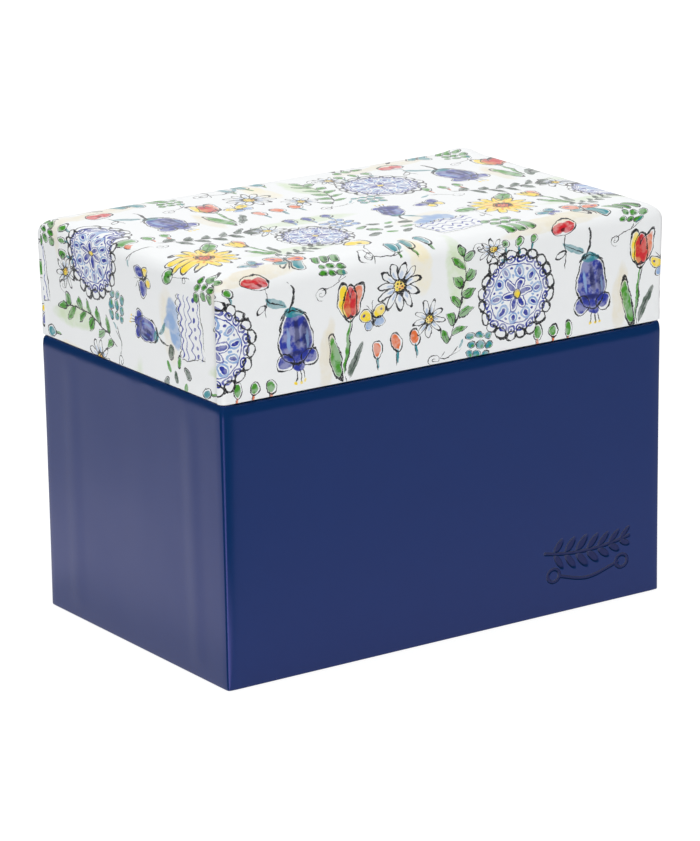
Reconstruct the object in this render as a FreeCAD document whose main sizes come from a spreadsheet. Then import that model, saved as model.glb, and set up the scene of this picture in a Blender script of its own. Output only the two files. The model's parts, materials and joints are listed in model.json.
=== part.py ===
"""Index card box: a covered board tray with a padded lid, hinged along the back.

Frame: origin in the middle of the underside, +X to the right along the front,
+Y to the back and +Z up.  All lengths are in millimetres and angles in degrees.
"""
import FreeCAD, Part
import math
import os

import Sketcher

X_AXIS = FreeCAD.Vector(1, 0, 0)
TOUCH = 1e-4

# Driving dimensions: alias, value, meaning.
DIMENSIONS = (
    ("card_width", 152.4, "width of an index card (6 in)"),
    ("card_height", 101.6, "height of an index card (4 in)"),
    ("card_thickness", 0.3, "thickness of one card"),
    ("card_gap", 0.02, "air between neighbouring cards"),
    ("divider_overhang", 6.35, "how much wider a divider is than a card"),
    ("divider_rise", 3.2, "how much taller a divider is than a card, without its tab"),
    ("divider_thickness", 0.5, "thickness of a divider"),
    ("divider_corner_radius", 3.0, "rounding of the corners of a divider and its tab"),
    ("tab_height", 9.5, "height of a divider's tab"),
    ("tab_width", 48.0, "width of a divider's tab"),
    ("tab_inset", 3.0, "straight edge between a divider's rounded corner and its outermost tab"),
    ("section_lean", 6.0, "angle at which the dividers and cards lean back at rest"),
    ("section_pitch", 3.6, "distance from one divider's foot to the next"),
    ("back_clearance", 0.5, "room between the last section and the walls behind it"),
    ("foot_clearance", 0.15, "room between the cards' lowest edge and the floor lining"),
    ("side_clearance", 3.0, "room between a divider and the tray at each end"),
    ("inner_depth", 100.4, "depth of the tray between its turn-ins"),
    ("base_height", 95.4, "height of the tray's rim"),
    ("head_clearance", 8.2, "room between the highest tab and the lid's lining"),
    ("rest_gap", 0.2, "gap between the tray's rim and the closed lid"),
    ("board_thickness", 4.0, "thickness of the tray's wall boards"),
    ("floor_board_thickness", 3.0, "thickness of the tray's floor board"),
    ("lid_board_thickness", 3.0, "thickness of the lid's wall boards"),
    ("lid_top_thickness", 3.0, "thickness of the lid's top board"),
    ("cover_thickness", 0.8, "thickness of both coverings"),
    ("lining_thickness", 0.8, "thickness of the lining panels"),
    ("rim_edge_radius", 0.5, "rounding of the wall boards' corners and of both edges of their rim"),
    ("lid_board_edge_radius", 0.2, "rounding of the lid boards' lower edges"),
    ("foam_thickness", 3.6, "thickness of the foam pad on the lid"),
    ("foam_edge_radius", 3.4, "rounding of the pad over the lid's edges and corners"),
    ("rim_turn_in", 20.0, "depth of the covering turned in over the tray's rim"),
    ("lid_turn_in", 15.0, "depth of the covering turned in over the lid's rim"),
    ("bottom_turn_in", 12.0, "width of the covering turned in under the tray"),
    ("underside_thickness", 0.3, "thickness of the panel under the tray"),
    ("underside_inset", 3.0, "distance from the tray's outside to that panel"),
    ("underside_corner_radius", 2.0, "rounding of that panel's corners"),
    ("strip_thickness", 0.6, "thickness of the hinge strip"),
    ("strip_base_width", 18.0, "height of the strip glued to the tray's back"),
    ("strip_lid_width", 14.0, "height of the strip glued to the lid's back"),
    ("strip_end_inset", 7.0, "distance from the box's sides to the strip's ends"),
    ("strip_corner_radius", 3.0, "rounding of the strip's corners"),
)
SECTION_COUNT = 6
CARDS_PER_SECTION = 6
TAB_POSITIONS = 3

# Sizes that follow from the driving dimensions: name, expression.  A name without "dims." is
# another of these sizes.
DERIVED = (
    ("divider_width", "dims.card_width + dims.divider_overhang"),
    ("divider_height", "dims.card_height + dims.divider_rise"),
    ("card_pitch", "dims.card_thickness + dims.card_gap"),
    ("base_wall", "dims.board_thickness + 2 * dims.cover_thickness"),
    ("base_cavity_wall", "dims.board_thickness + dims.cover_thickness"),
    ("box_width", "divider_width + 2 * (dims.side_clearance + base_wall)"),
    ("box_depth", "dims.inner_depth + 2 * base_wall"),
    ("base_cover_radius", "dims.rim_edge_radius + dims.cover_thickness"),
    ("board_bottom", "dims.underside_thickness + dims.cover_thickness"),
    ("floor_lining_bottom", "board_bottom + dims.floor_board_thickness"),
    ("floor_top", "floor_lining_bottom + dims.lining_thickness"),
    ("rim_turn_in_edge", "dims.base_height - dims.rim_turn_in"),
    ("pack_depth", "dims.divider_thickness + %d * card_pitch" % CARDS_PER_SECTION),
    ("foot_height", "floor_top + dims.foot_clearance + pack_depth * sin(dims.section_lean)"),
    ("tab_top", "foot_height + divider_height + dims.tab_height"),
    ("lid_wall", "dims.lid_board_thickness + 2 * dims.cover_thickness"),
    ("lid_cavity_wall", "dims.lid_board_thickness + dims.cover_thickness"),
    ("lid_bottom", "dims.base_height + dims.rest_gap"),
    ("lid_turn_in_edge", "lid_bottom + dims.lid_turn_in"),
    ("lid_lining_bottom", "tab_top + dims.head_clearance"),
    ("lid_board_bottom", "lid_lining_bottom + dims.lining_thickness"),
    ("foam_bottom", "lid_board_bottom + dims.lid_top_thickness"),
    ("foam_top", "foam_bottom + dims.foam_thickness"),
    ("box_height", "foam_top + dims.cover_thickness"),
    ("lid_cover_radius", "dims.foam_edge_radius + dims.cover_thickness"),
    ("lid_rim_radius", "dims.lid_board_edge_radius + dims.cover_thickness"),
    ("fold_height", "dims.base_height + dims.rest_gap / 2"),
)

doc = FreeCAD.newDocument("index_card_box")
sheet = doc.addObject("Spreadsheet::Sheet", "dims")
derived = doc.addObject("App::VarSet", "derived")


def fill_sheet():
    """Write the driving dimensions and what follows from them."""
    for row, (alias, value, meaning) in enumerate(DIMENSIONS, start=1):
        sheet.set("A%d" % row, alias)
        sheet.set("B%d" % row, str(value))
        sheet.set("C%d" % row, meaning)
        sheet.setAlias("B%d" % row, alias)
    doc.recompute()
    for name, expression in DERIVED:
        derived.addProperty("App::PropertyFloat", name)
        derived.setExpression(name, expression)
    doc.recompute()


def bind(thing, **expressions):
    """Tie properties of a feature to the sheet; __ stands for a dot in a property's name."""
    for name, expression in expressions.items():
        thing.setExpression(name.replace("__", "."), expression)
    return thing


def new_body(name):
    """A PartDesign body; the parts that are written out carry their node's name as Label."""
    body = doc.addObject("PartDesign::Body", name)
    body.Label = name
    return body


def origin_plane(body, role):
    """One of the body's own origin planes."""
    for feature in body.Origin.OriginFeatures:
        if feature.Role == role:
            return feature
    raise RuntimeError("no plane %s in %s" % (role, body.Name))


def rectangle_sketch(body, name, plane, size_x, size_y, offset, middle_y="0"):
    """A rectangle symmetric about the plane's vertical axis.

    size_x and size_y are its expressions, offset moves its plane along the normal, and
    middle_y is the height of its middle over the plane's origin.
    """
    sketch = body.newObject("Sketcher::SketchObject", name)
    sketch.AttachmentSupport = (origin_plane(body, plane), [""])
    sketch.MapMode = "FlatFace"
    bind(sketch, AttachmentOffset__Base__z=offset, AttachmentOffset__Base__y=middle_y)
    corners = [FreeCAD.Vector(x, y, 0) for x, y in ((-10, -5), (10, -5), (10, 5), (-10, 5))]
    for index in range(4):
        sketch.addGeometry(Part.LineSegment(corners[index], corners[(index + 1) % 4]))
    for index in range(4):
        sketch.addConstraint(Sketcher.Constraint("Coincident", index, 2, (index + 1) % 4, 1))
    for index in (0, 2):
        sketch.addConstraint(Sketcher.Constraint("Horizontal", index))
    for index in (1, 3):
        sketch.addConstraint(Sketcher.Constraint("Vertical", index))
    sketch.addConstraint(Sketcher.Constraint("Symmetric", 0, 1, 2, 1, -1, 1))
    width = sketch.addConstraint(Sketcher.Constraint("DistanceX", 0, 1, 0, 2, 20))
    height = sketch.addConstraint(Sketcher.Constraint("DistanceY", 1, 1, 1, 2, 10))
    sketch.renameConstraint(width, "width")
    sketch.renameConstraint(height, "height")
    bind(sketch, Constraints__width=size_x, Constraints__height=size_y)
    return sketch


def footprint(body, name, inset, height):
    """A level rectangle that lies an inset inside the box's outline, at a height."""
    size_x = "derived.box_width - 2 * (%s)" % inset
    size_y = "derived.box_depth - 2 * (%s)" % inset
    return rectangle_sketch(body, name, "XY_Plane", size_x, size_y, height)


def pad(body, sketch, length, reverse=False):
    """Raise a sketch by an expression's length."""
    feature = body.newObject("PartDesign::Pad", sketch.Name + "_pad")
    feature.Profile = sketch
    feature.Reversed = reverse
    bind(feature, Length=length)
    doc.recompute()
    return feature


def pocket(body, sketch, length, reverse=False):
    """Cut a sketch out by an expression's depth, and see that it cut something."""
    before = body.Shape.Volume
    feature = body.newObject("PartDesign::Pocket", sketch.Name + "_pocket")
    feature.Profile = sketch
    feature.Reversed = reverse
    bind(feature, Length=length)
    doc.recompute()
    if body.Shape.Volume >= before:
        raise RuntimeError("%s cuts nothing" % feature.Name)
    return feature


def round_edges(body, name, radius, wanted):
    """Round every edge of the body for which wanted(edge) holds."""
    base = body.Tip
    names = ["Edge%d" % index for index, edge in enumerate(base.Shape.Edges, start=1) if wanted(edge)]
    feature = body.newObject("PartDesign::Fillet", name)
    feature.Base = (base, names)
    bind(feature, Radius=radius)
    doc.recompute()
    return feature


def is_upright(edge):
    """Whether an edge is a vertical line."""
    box = edge.BoundBox
    return box.XLength < TOUCH and box.YLength < TOUCH


def lies_at(edge, height):
    """Whether an edge lies at one height."""
    box = edge.BoundBox
    return abs(box.ZMin - height) < TOUCH and abs(box.ZMax - height) < TOUCH


def is_outer(edge, width, depth):
    """Whether an edge lies on the outside of a width by depth block centred on the Z axis."""
    middle = edge.BoundBox.Center
    return abs(abs(middle.x) - width / 2) < TOUCH or abs(abs(middle.y) - depth / 2) < TOUCH


def round_rim(body, name, radius):
    """Round a tray's upright corners and both edges of its rim with one radius."""
    box = body.Shape.BoundBox

    def wanted(edge):
        return lies_at(edge, box.ZMax) or (is_upright(edge) and is_outer(edge, box.XLength, box.YLength))

    round_edges(body, name, radius, wanted)


def round_lid(body, name, radius, rim_radius):
    """Round a lid's top edges and upright corners, and its outer lower edge more finely."""
    box = body.Shape.BoundBox

    def is_top_or_corner(edge):
        return lies_at(edge, box.ZMax) or (is_upright(edge) and is_outer(edge, box.XLength, box.YLength))

    def is_lower(edge):
        return lies_at(edge, box.ZMin) and is_outer(edge, box.XLength, box.YLength)

    round_edges(body, name + "_rounding", radius, is_top_or_corner)
    round_edges(body, name + "_rim", rim_radius, is_lower)


def block(name, inset, bottom, top):
    """A Part::Box that lies an inset inside the box's outline, between two heights."""
    half_x = "(derived.box_width / 2 - %s)" % inset
    half_y = "(derived.box_depth / 2 - %s)" % inset
    return slab(name, ("-" + half_x, "-" + half_y, bottom), (half_x, half_y, top))


def slab(name, low, high):
    """A Part::Box between two corners, each a triple of expressions."""
    box = doc.addObject("Part::Box", name)
    sizes = ["(%s) - (%s)" % (high[axis], low[axis]) for axis in range(3)]
    bind(
        box,
        Length=sizes[0],
        Width=sizes[1],
        Height=sizes[2],
        Placement__Base__x=low[0],
        Placement__Base__y=low[1],
        Placement__Base__z=low[2],
    )
    return box


def boolean(kind, name, base, tool):
    """A Part::Cut or Part::Common of two objects."""
    feature = doc.addObject("Part::" + kind, name)
    feature.Label = name
    feature.Base = base
    feature.Tool = tool
    return feature


def union(name, objects):
    """A Part::MultiFuse of several objects."""
    feature = doc.addObject("Part::MultiFuse", name)
    feature.Shapes = objects
    return feature


def wall_ring(prefix, suffix, far, near, bottom, top):
    """Four slabs round the Z axis: front and back run the full width, and the two sides are
    butted between them.

    far and near are the distances of their faces from the box's outside, as expressions.
    """
    far_x, near_x = ["(derived.box_width / 2 - %s)" % inset for inset in (far, near)]
    far_y, near_y = ["(derived.box_depth / 2 - %s)" % inset for inset in (far, near)]
    corners = {
        "front": (("-" + far_x, "-" + far_y), (far_x, "-" + near_y)),
        "back": (("-" + far_x, near_y), (far_x, far_y)),
        "left": (("-" + far_x, "-" + near_y), ("-" + near_x, near_y)),
        "right": ((near_x, "-" + near_y), (far_x, near_y)),
    }
    ring = {}
    for side, (low, high) in corners.items():
        ring[side] = slab("%s_%s_%s" % (prefix, side, suffix), low + (bottom,), high + (top,))
    return ring


def wall_boards(prefix, frame, wall, bottom, top):
    """A frame's walls split into four boards."""
    ring = wall_ring(prefix, "slab", "0", wall, bottom, top)
    return [
        boolean("Common", "%s_%s_board" % (prefix, side), frame, cutter)
        for side, cutter in ring.items()
    ]


def wall_linings(prefix, wall, bottom, top):
    """Four lining panels inside a box's walls."""
    near = "(%s + dims.lining_thickness)" % wall
    return list(wall_ring(prefix, "lining", wall, near, bottom, top).values())


def base_frame():
    """The tray's four walls as one block with a rounded rim; the boards are cut from it."""
    body = new_body("base_frame")
    height = "dims.base_height - dims.cover_thickness - derived.board_bottom"
    outline = footprint(body, "base_frame_outline", "dims.cover_thickness", "derived.board_bottom")
    pad(body, outline, height)
    hollow = footprint(body, "base_frame_hollow", "derived.base_cavity_wall", "derived.board_bottom")
    pocket(body, hollow, height, reverse=True)
    round_rim(body, "base_frame_rounding", "dims.rim_edge_radius")
    return body


def base_cover(frame):
    """The tray's covering: outside, over the rim, turned in inside and under the floor."""
    body = new_body("base_cover_block")
    outline = footprint(body, "base_cover_outline", "0", "dims.underside_thickness")
    pad(body, outline, "dims.base_height - dims.underside_thickness")
    opening = footprint(body, "base_cover_opening", "derived.base_wall", "dims.base_height")
    pocket(body, opening, "dims.base_height - derived.board_bottom")
    window = footprint(body, "base_cover_window", "dims.bottom_turn_in", "dims.underside_thickness")
    pocket(body, window, "dims.cover_thickness", reverse=True)
    round_rim(body, "base_cover_rounding", "derived.base_cover_radius")
    wall = "derived.base_cavity_wall"
    cavity = block("base_cover_cavity", wall, "derived.board_bottom", "derived.rim_turn_in_edge")
    return boolean("Cut", "base_cover", body, union("base_cover_core", [frame, cavity]))


def base_boards(frame):
    """The tray's boards: four walls split from the frame, and a floor between them."""
    wall = "derived.base_cavity_wall"
    boards = wall_boards("base", frame, wall, "derived.board_bottom", "dims.base_height")
    boards.append(block("base_floor_board", wall, "derived.board_bottom", "derived.floor_lining_bottom"))
    return boards


def base_linings():
    """Paper-covered card inside the tray: a floor panel, and four wall panels that stand on it."""
    wall = "derived.base_cavity_wall"
    panels = wall_linings("base", wall, "derived.floor_top", "derived.rim_turn_in_edge")
    panels.append(block("base_floor_lining", wall, "derived.floor_lining_bottom", "derived.floor_top"))
    return panels


def underside_panel():
    """The card panel that hides the turned-in covering and that the box stands on."""
    body = new_body("underside_panel")
    outline = footprint(body, "underside_outline", "dims.underside_inset", "0")
    pad(body, outline, "dims.underside_thickness")
    round_edges(body, "underside_corners", "dims.underside_corner_radius", is_upright)
    return body


def lid_frame():
    """The lid's walls, top board and foam pad as one block; the pieces are cut from it."""
    body = new_body("lid_frame")
    bottom = "derived.lid_bottom + dims.cover_thickness"
    outline = footprint(body, "lid_frame_outline", "dims.cover_thickness", bottom)
    pad(body, outline, "derived.foam_top - (%s)" % bottom)
    hollow = footprint(body, "lid_frame_hollow", "derived.lid_cavity_wall", bottom)
    pocket(body, hollow, "derived.lid_board_bottom - (%s)" % bottom, reverse=True)
    round_lid(body, "lid_frame", "dims.foam_edge_radius", "dims.lid_board_edge_radius")
    return body


def lid_cover(frame):
    """The lid's printed covering: over the pad, down the walls and turned in inside."""
    body = new_body("lid_cover_block")
    outline = footprint(body, "lid_cover_outline", "0", "derived.lid_bottom")
    pad(body, outline, "derived.box_height - derived.lid_bottom")
    opening = footprint(body, "lid_cover_opening", "derived.lid_wall", "derived.lid_bottom")
    pocket(body, opening, "derived.lid_board_bottom - derived.lid_bottom", reverse=True)
    round_lid(body, "lid_cover", "derived.lid_cover_radius", "derived.lid_rim_radius")
    wall = "derived.lid_cavity_wall"
    cavity = block("lid_cover_cavity", wall, "derived.lid_turn_in_edge", "derived.lid_board_bottom")
    return boolean("Cut", "lid_cover", body, union("lid_cover_core", [frame, cavity]))


def lid_boards(frame):
    """The lid's boards, with the foam pad that lies on the top one."""
    wall = "derived.lid_cavity_wall"
    pieces = wall_boards("lid", frame, wall, "derived.lid_bottom", "derived.lid_board_bottom")
    top_slab = block("lid_top_slab", "0", "derived.lid_board_bottom", "derived.foam_bottom")
    foam_slab = block("lid_foam_slab", "0", "derived.foam_bottom", "derived.foam_top")
    pieces.append(boolean("Common", "lid_top_board", frame, top_slab))
    pieces.append(boolean("Common", "lid_foam_pad", frame, foam_slab))
    return pieces


def lid_linings():
    """Paper-covered card inside the lid: a top panel, and four wall panels under it."""
    wall = "derived.lid_cavity_wall"
    panels = wall_linings("lid", wall, "derived.lid_turn_in_edge", "derived.lid_lining_bottom")
    panels.append(block("lid_top_lining", wall, "derived.lid_lining_bottom", "derived.lid_board_bottom"))
    return panels


def hinge_leaf(name, low, high, glued_end):
    """Half of the hinge strip: a plate on the outside of the back, between two heights.

    glued_end is "low" or "high", the end that lies away from the fold and has round corners.
    """
    body = new_body(name)
    width = "derived.box_width - 2 * dims.strip_end_inset"
    height = "(%s) - (%s)" % (high, low)
    middle = "((%s) + (%s)) / 2" % (high, low)
    behind = "-derived.box_depth / 2"
    outline = rectangle_sketch(body, name + "_outline", "XZ_Plane", width, height, behind, middle)
    pad(body, outline, "dims.strip_thickness", reverse=True)
    box = body.Shape.BoundBox
    end_height = box.ZMin if glued_end == "low" else box.ZMax

    def is_corner(edge):
        return edge.BoundBox.XLength < TOUCH and lies_at(edge, end_height)

    round_edges(body, name + "_corners", "dims.strip_corner_radius", is_corner)
    return body


def hinge_strip():
    """Both halves of the hinge strip, parted at its fold: one on the tray and one on the lid."""
    base_end = "derived.fold_height - dims.strip_base_width"
    lid_end = "derived.fold_height + dims.strip_lid_width"
    return [
        hinge_leaf("hinge_base_leaf", base_end, "dims.base_height", "low"),
        hinge_leaf("hinge_lid_leaf", "derived.lid_bottom", lid_end, "high"),
    ]


def divider(number):
    """A divider with one tab; the tabs step along from left to right and start again."""
    name = "divider_%d" % number
    body = new_body(name)
    width, sheet_height = "derived.divider_width", "derived.divider_height"
    middle = sheet_height + " / 2"
    plate = rectangle_sketch(body, name + "_plate", "XZ_Plane", width, sheet_height, "0", middle)
    pad(body, plate, "dims.divider_thickness", reverse=True)
    step = (number - 1) % TAB_POSITIONS - (TAB_POSITIONS - 1) / 2
    tab = rectangle_sketch(
        body,
        name + "_tab",
        "XZ_Plane",
        "dims.tab_width",
        "dims.tab_height",
        "0",
        sheet_height + " + dims.tab_height / 2",
    )
    margin = "(dims.tab_inset + dims.divider_corner_radius)"
    travel = "(derived.divider_width - dims.tab_width - 2 * %s)" % margin
    bind(tab, AttachmentOffset__Base__x="%s * %s / %d" % (step, travel, TAB_POSITIONS - 1))
    pad(body, tab, "dims.divider_thickness", reverse=True)
    box = body.Shape.BoundBox
    shoulder = derived.divider_height

    def is_upper_corner(edge):
        bounds = edge.BoundBox
        if bounds.XLength > TOUCH or bounds.ZLength > TOUCH:
            return False
        on_tab = abs(bounds.ZMin - box.ZMax) < TOUCH
        at_end = min(abs(bounds.XMin - box.XMin), abs(bounds.XMin - box.XMax)) < TOUCH
        return on_tab or (at_end and abs(bounds.ZMin - shoulder) < TOUCH)

    round_edges(body, name + "_corners", "dims.divider_corner_radius", is_upper_corner)
    return body


def cards(number):
    """The cards kept behind one divider, each a sheet of its own."""
    name = "cards_%d" % number
    sheets = []
    for index in range(CARDS_PER_SECTION):
        card = doc.addObject("Part::Box", "%s_%d" % (name, index + 1))
        bind(
            card,
            Length="dims.card_width",
            Width="dims.card_thickness",
            Height="dims.card_height",
            Placement__Base__x="-dims.card_width / 2",
            Placement__Base__y="dims.divider_thickness + dims.card_gap + %d * derived.card_pitch" % index,
        )
        sheets.append(card)
    pack = doc.addObject("Part::Compound", name)
    pack.Label = name
    pack.Links = sheets
    return pack


def last_foot():
    """How far back the last section stands, so that it clears the lid's wall and the tray's rim."""
    lean = math.radians(sheet.section_lean)
    tab_reach = (
        sheet.divider_thickness * math.cos(lean)
        + (derived.divider_height + sheet.tab_height) * math.sin(lean)
    )
    card_reach = derived.pack_depth * math.cos(lean) + sheet.card_height * math.sin(lean)
    rim_rise = sheet.base_height - derived.foot_height
    rim_reach = derived.pack_depth / math.cos(lean) + rim_rise * math.tan(lean)
    lid_face = derived.box_depth / 2 - derived.lid_wall
    rim_face = derived.box_depth / 2 - derived.base_wall
    return min(lid_face - max(tab_reach, card_reach), rim_face - rim_reach) - sheet.back_clearance


def sections():
    """Dividers and cards in a row at the tray's back, each section leaning back on its foot."""
    turn = FreeCAD.Rotation(X_AXIS, -sheet.section_lean)
    back = last_foot()
    pieces = []
    for number in range(1, SECTION_COUNT + 1):
        depth = back - (SECTION_COUNT - number) * sheet.section_pitch
        foot = FreeCAD.Vector(0, depth, derived.foot_height)
        for piece in (divider(number), cards(number)):
            piece.Placement = FreeCAD.Placement(foot, turn)
            pieces.append(piece)
    print("foot of the first section %.3f, of the last %.3f, height %.3f mm" % (
        back - (SECTION_COUNT - 1) * sheet.section_pitch,
        back,
        derived.foot_height,
    ))
    return pieces


def check_and_export(parts):
    """Stop if any object failed or a part has no sound shape, then write each part's file."""
    doc.recompute()
    for thing in doc.Objects:
        if "Invalid" in thing.State or "Error" in thing.State:
            raise RuntimeError("%s: %s" % (thing.Name, thing.State))
    os.makedirs("parts", exist_ok=True)
    for part in parts:
        shape = part.Shape
        if shape.isNull() or not shape.isValid() or not shape.Solids:
            raise RuntimeError("%s has no sound shape" % part.Label)
        shape.exportStep("parts/%s.step" % part.Label)
    print("%d parts, box %.2f x %.2f x %.2f mm" % (
        len(parts),
        derived.box_width,
        derived.box_depth,
        derived.box_height,
    ))


def main():
    """Build every piece of the box and write its file."""
    fill_sheet()
    tray_frame = base_frame()
    top_frame = lid_frame()
    parts = [base_cover(tray_frame), underside_panel(), lid_cover(top_frame)]
    parts += base_boards(tray_frame)
    parts += base_linings()
    parts += lid_boards(top_frame)
    parts += lid_linings()
    parts += hinge_strip()
    parts += sections()
    check_and_export(parts)


main()
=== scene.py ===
"""Covered index card box: its skins, lid padding, linings, dividers and cards, dressed for Blender."""

import functools
import json
import math

import bmesh
import bpy
import numpy as np
from bpy.props import FloatProperty, FloatVectorProperty, PointerProperty
from mathutils import Matrix, Vector, noise


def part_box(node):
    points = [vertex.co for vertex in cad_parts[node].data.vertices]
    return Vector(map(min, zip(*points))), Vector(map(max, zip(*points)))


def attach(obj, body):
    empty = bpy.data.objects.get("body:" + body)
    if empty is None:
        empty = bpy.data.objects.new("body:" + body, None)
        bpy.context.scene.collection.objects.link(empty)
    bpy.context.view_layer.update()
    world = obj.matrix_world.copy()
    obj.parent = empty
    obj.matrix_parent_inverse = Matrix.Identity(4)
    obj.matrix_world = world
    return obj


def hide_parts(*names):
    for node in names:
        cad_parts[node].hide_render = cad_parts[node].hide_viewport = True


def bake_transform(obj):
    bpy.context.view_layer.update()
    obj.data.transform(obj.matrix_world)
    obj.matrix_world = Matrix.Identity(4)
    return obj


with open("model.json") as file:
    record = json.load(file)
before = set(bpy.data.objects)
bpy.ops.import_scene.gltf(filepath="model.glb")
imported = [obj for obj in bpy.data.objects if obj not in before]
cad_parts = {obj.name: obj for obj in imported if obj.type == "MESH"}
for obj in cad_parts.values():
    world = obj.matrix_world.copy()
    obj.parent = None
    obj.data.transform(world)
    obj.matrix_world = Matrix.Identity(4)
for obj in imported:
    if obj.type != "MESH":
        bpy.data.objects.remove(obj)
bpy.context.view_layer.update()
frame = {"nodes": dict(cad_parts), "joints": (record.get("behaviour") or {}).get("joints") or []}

bl_info = {
    "name": "Index Card Box",
    "version": (1, 0, 0),
    "blender": (4, 5, 0),
    "location": "3D View > Sidebar > Card Box",
    "description": "Builds the coverings, padding, linings and cards of a hinged index card box",
    "category": "Add Mesh",
}

MM = 0.001
# Fullness of the lid's padded rounding: 1 is a quarter of an ellipse, and less is fuller.
PLUMP = 0.8
# Width of the ramp from the lid's front and back flaps down to its side flaps, in millimetres.
SEAM_RAMP = 0.3
# Radius of the fold round the base's foot, and how far it bulges down there, in millimetres.
BASE_FOLD, BASE_BEAD = 0.3, 0.2
# Middle of the sprig pressed into the base's front, in millimetres across and up.
SPRIG_MIDDLE = (57.0, 21.0)
# Millimetres of the printed sheet to one unit of its map.
SHEET_UNIT = 100.0
WHITE = (1.0, 1.0, 1.0, 1.0)
BASE_LOW, BASE_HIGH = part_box("base_cover")
LID_LOW, LID_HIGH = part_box("lid_cover")
PAD_LOW, PAD_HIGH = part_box("lid_foam_pad")
LEAF_LOW, LEAF_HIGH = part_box("hinge_base_leaf")
LID_LEAF_LOW, LID_LEAF_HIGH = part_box("hinge_lid_leaf")
_, LINING_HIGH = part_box("base_front_lining")
LID_LINING_LOW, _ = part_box("lid_front_lining")
SECTIONS = sum(node.startswith("divider_") for node in frame["nodes"])


def srgb(red, green, blue):
    """A linear colour with full alpha from the 8-bit values that a screen shows."""
    parts = (c / 255 for c in (red, green, blue))
    return tuple(c / 12.92 if c <= 0.04045 else ((c + 0.055) / 1.055) ** 2.4 for c in parts) + (1.0,)


def length(name, description, millimetres):
    """A length setting whose default is given in millimetres."""
    return FloatProperty(name=name, description=description, default=millimetres * MM, min=0.0,
                         precision=5, subtype="DISTANCE", unit="LENGTH")


def angle(name, description, degrees):
    """An angle setting whose default is given in degrees."""
    return FloatProperty(name=name, description=description, default=math.radians(degrees),
                         subtype="ANGLE", unit="ROTATION")


def colour(name, description, value):
    """A colour setting."""
    return FloatVectorProperty(name=name, description=description, default=value, size=4,
                               min=0.0, max=1.0, subtype="COLOR")


class CardBoxSizes(bpy.types.PropertyGroup):
    """Sizes of the coverings and the padding, and how far the sections lean."""

    skin: length("Covering", "Thickness of the leatherette skin", 0.8)
    base_wall: length("Base wall", "Thickness of a covered wall of the base", 5.6)
    lid_wall: length("Lid wall", "Thickness of a covered wall of the lid", 4.6)
    rim_radius: length("Base rim", "Radius of the edges of the base's rim", 1.0)
    rim_band: length("Rim band", "Height of the band that leans in below the base's rim", 3.4)
    rim_lean: angle("Rim lean", "How far that band has turned inwards at its top", 13.0)
    rim_sag: length("Rim sag", "How far the base's front rim lies below its sides", 0.55)
    base_corner: length("Base corners", "Radius of the upright corners of the base", 1.1)
    shoulder: length("Shoulders", "Length over which the front turns towards its corners", 4.2)
    shoulder_turn: angle("Shoulder turn", "How far the front has turned at its corners", 13.0)
    base_flare: length("Base flare", "How much further out the base stands at its rim", 0.5)
    lid_corner_top: length("Lid corners, padding", "Radius of the corners round the padded top", 2.8)
    lid_corner_high: length("Lid corners, top", "Radius of the lid's upright corners near the top", 1.6)
    lid_corner_low: length("Lid corners, rim", "Radius of the lid's upright corners at the rim", 2.0)
    lid_flare: length("Lid flare", "How much further out the lid stands below its rounding", 0.85)
    lid_edge_drop: length("Lid edge, height", "Height of the padded rounding round the lid's top", 6.4)
    lid_edge_run: length("Lid edge, width", "Width of the padded rounding round the lid's top", 7.6)
    lid_rim: length("Lid rim", "Radius of the fold along the lid's lower edge", 0.5)
    lid_waist: length("Lid waist", "How far the lid's sides draw in above the rim", 0.12)
    lid_crown: length("Lid crown", "Rise of the padded top from its edges to its middle", 0.5)
    lid_peak: length("Lid corner peak", "How far the folded covering stands up at the right back corner", 1.3)
    flange: length("Flange", "Width of the covering folded under the base", 12.0)
    seam_offset: length("Corner seam", "Distance of the covering's cut edge from the lid's corners", 0.3)
    seam_step: length("Seam step", "Height of the step at the covering's cut edge", 0.28)
    swell: length("Unevenness", "Height of the faint swells in the base covering", 0.13)
    section_lean: angle("Section lean", "How far the dividers and cards lean back", 6.0)


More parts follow.
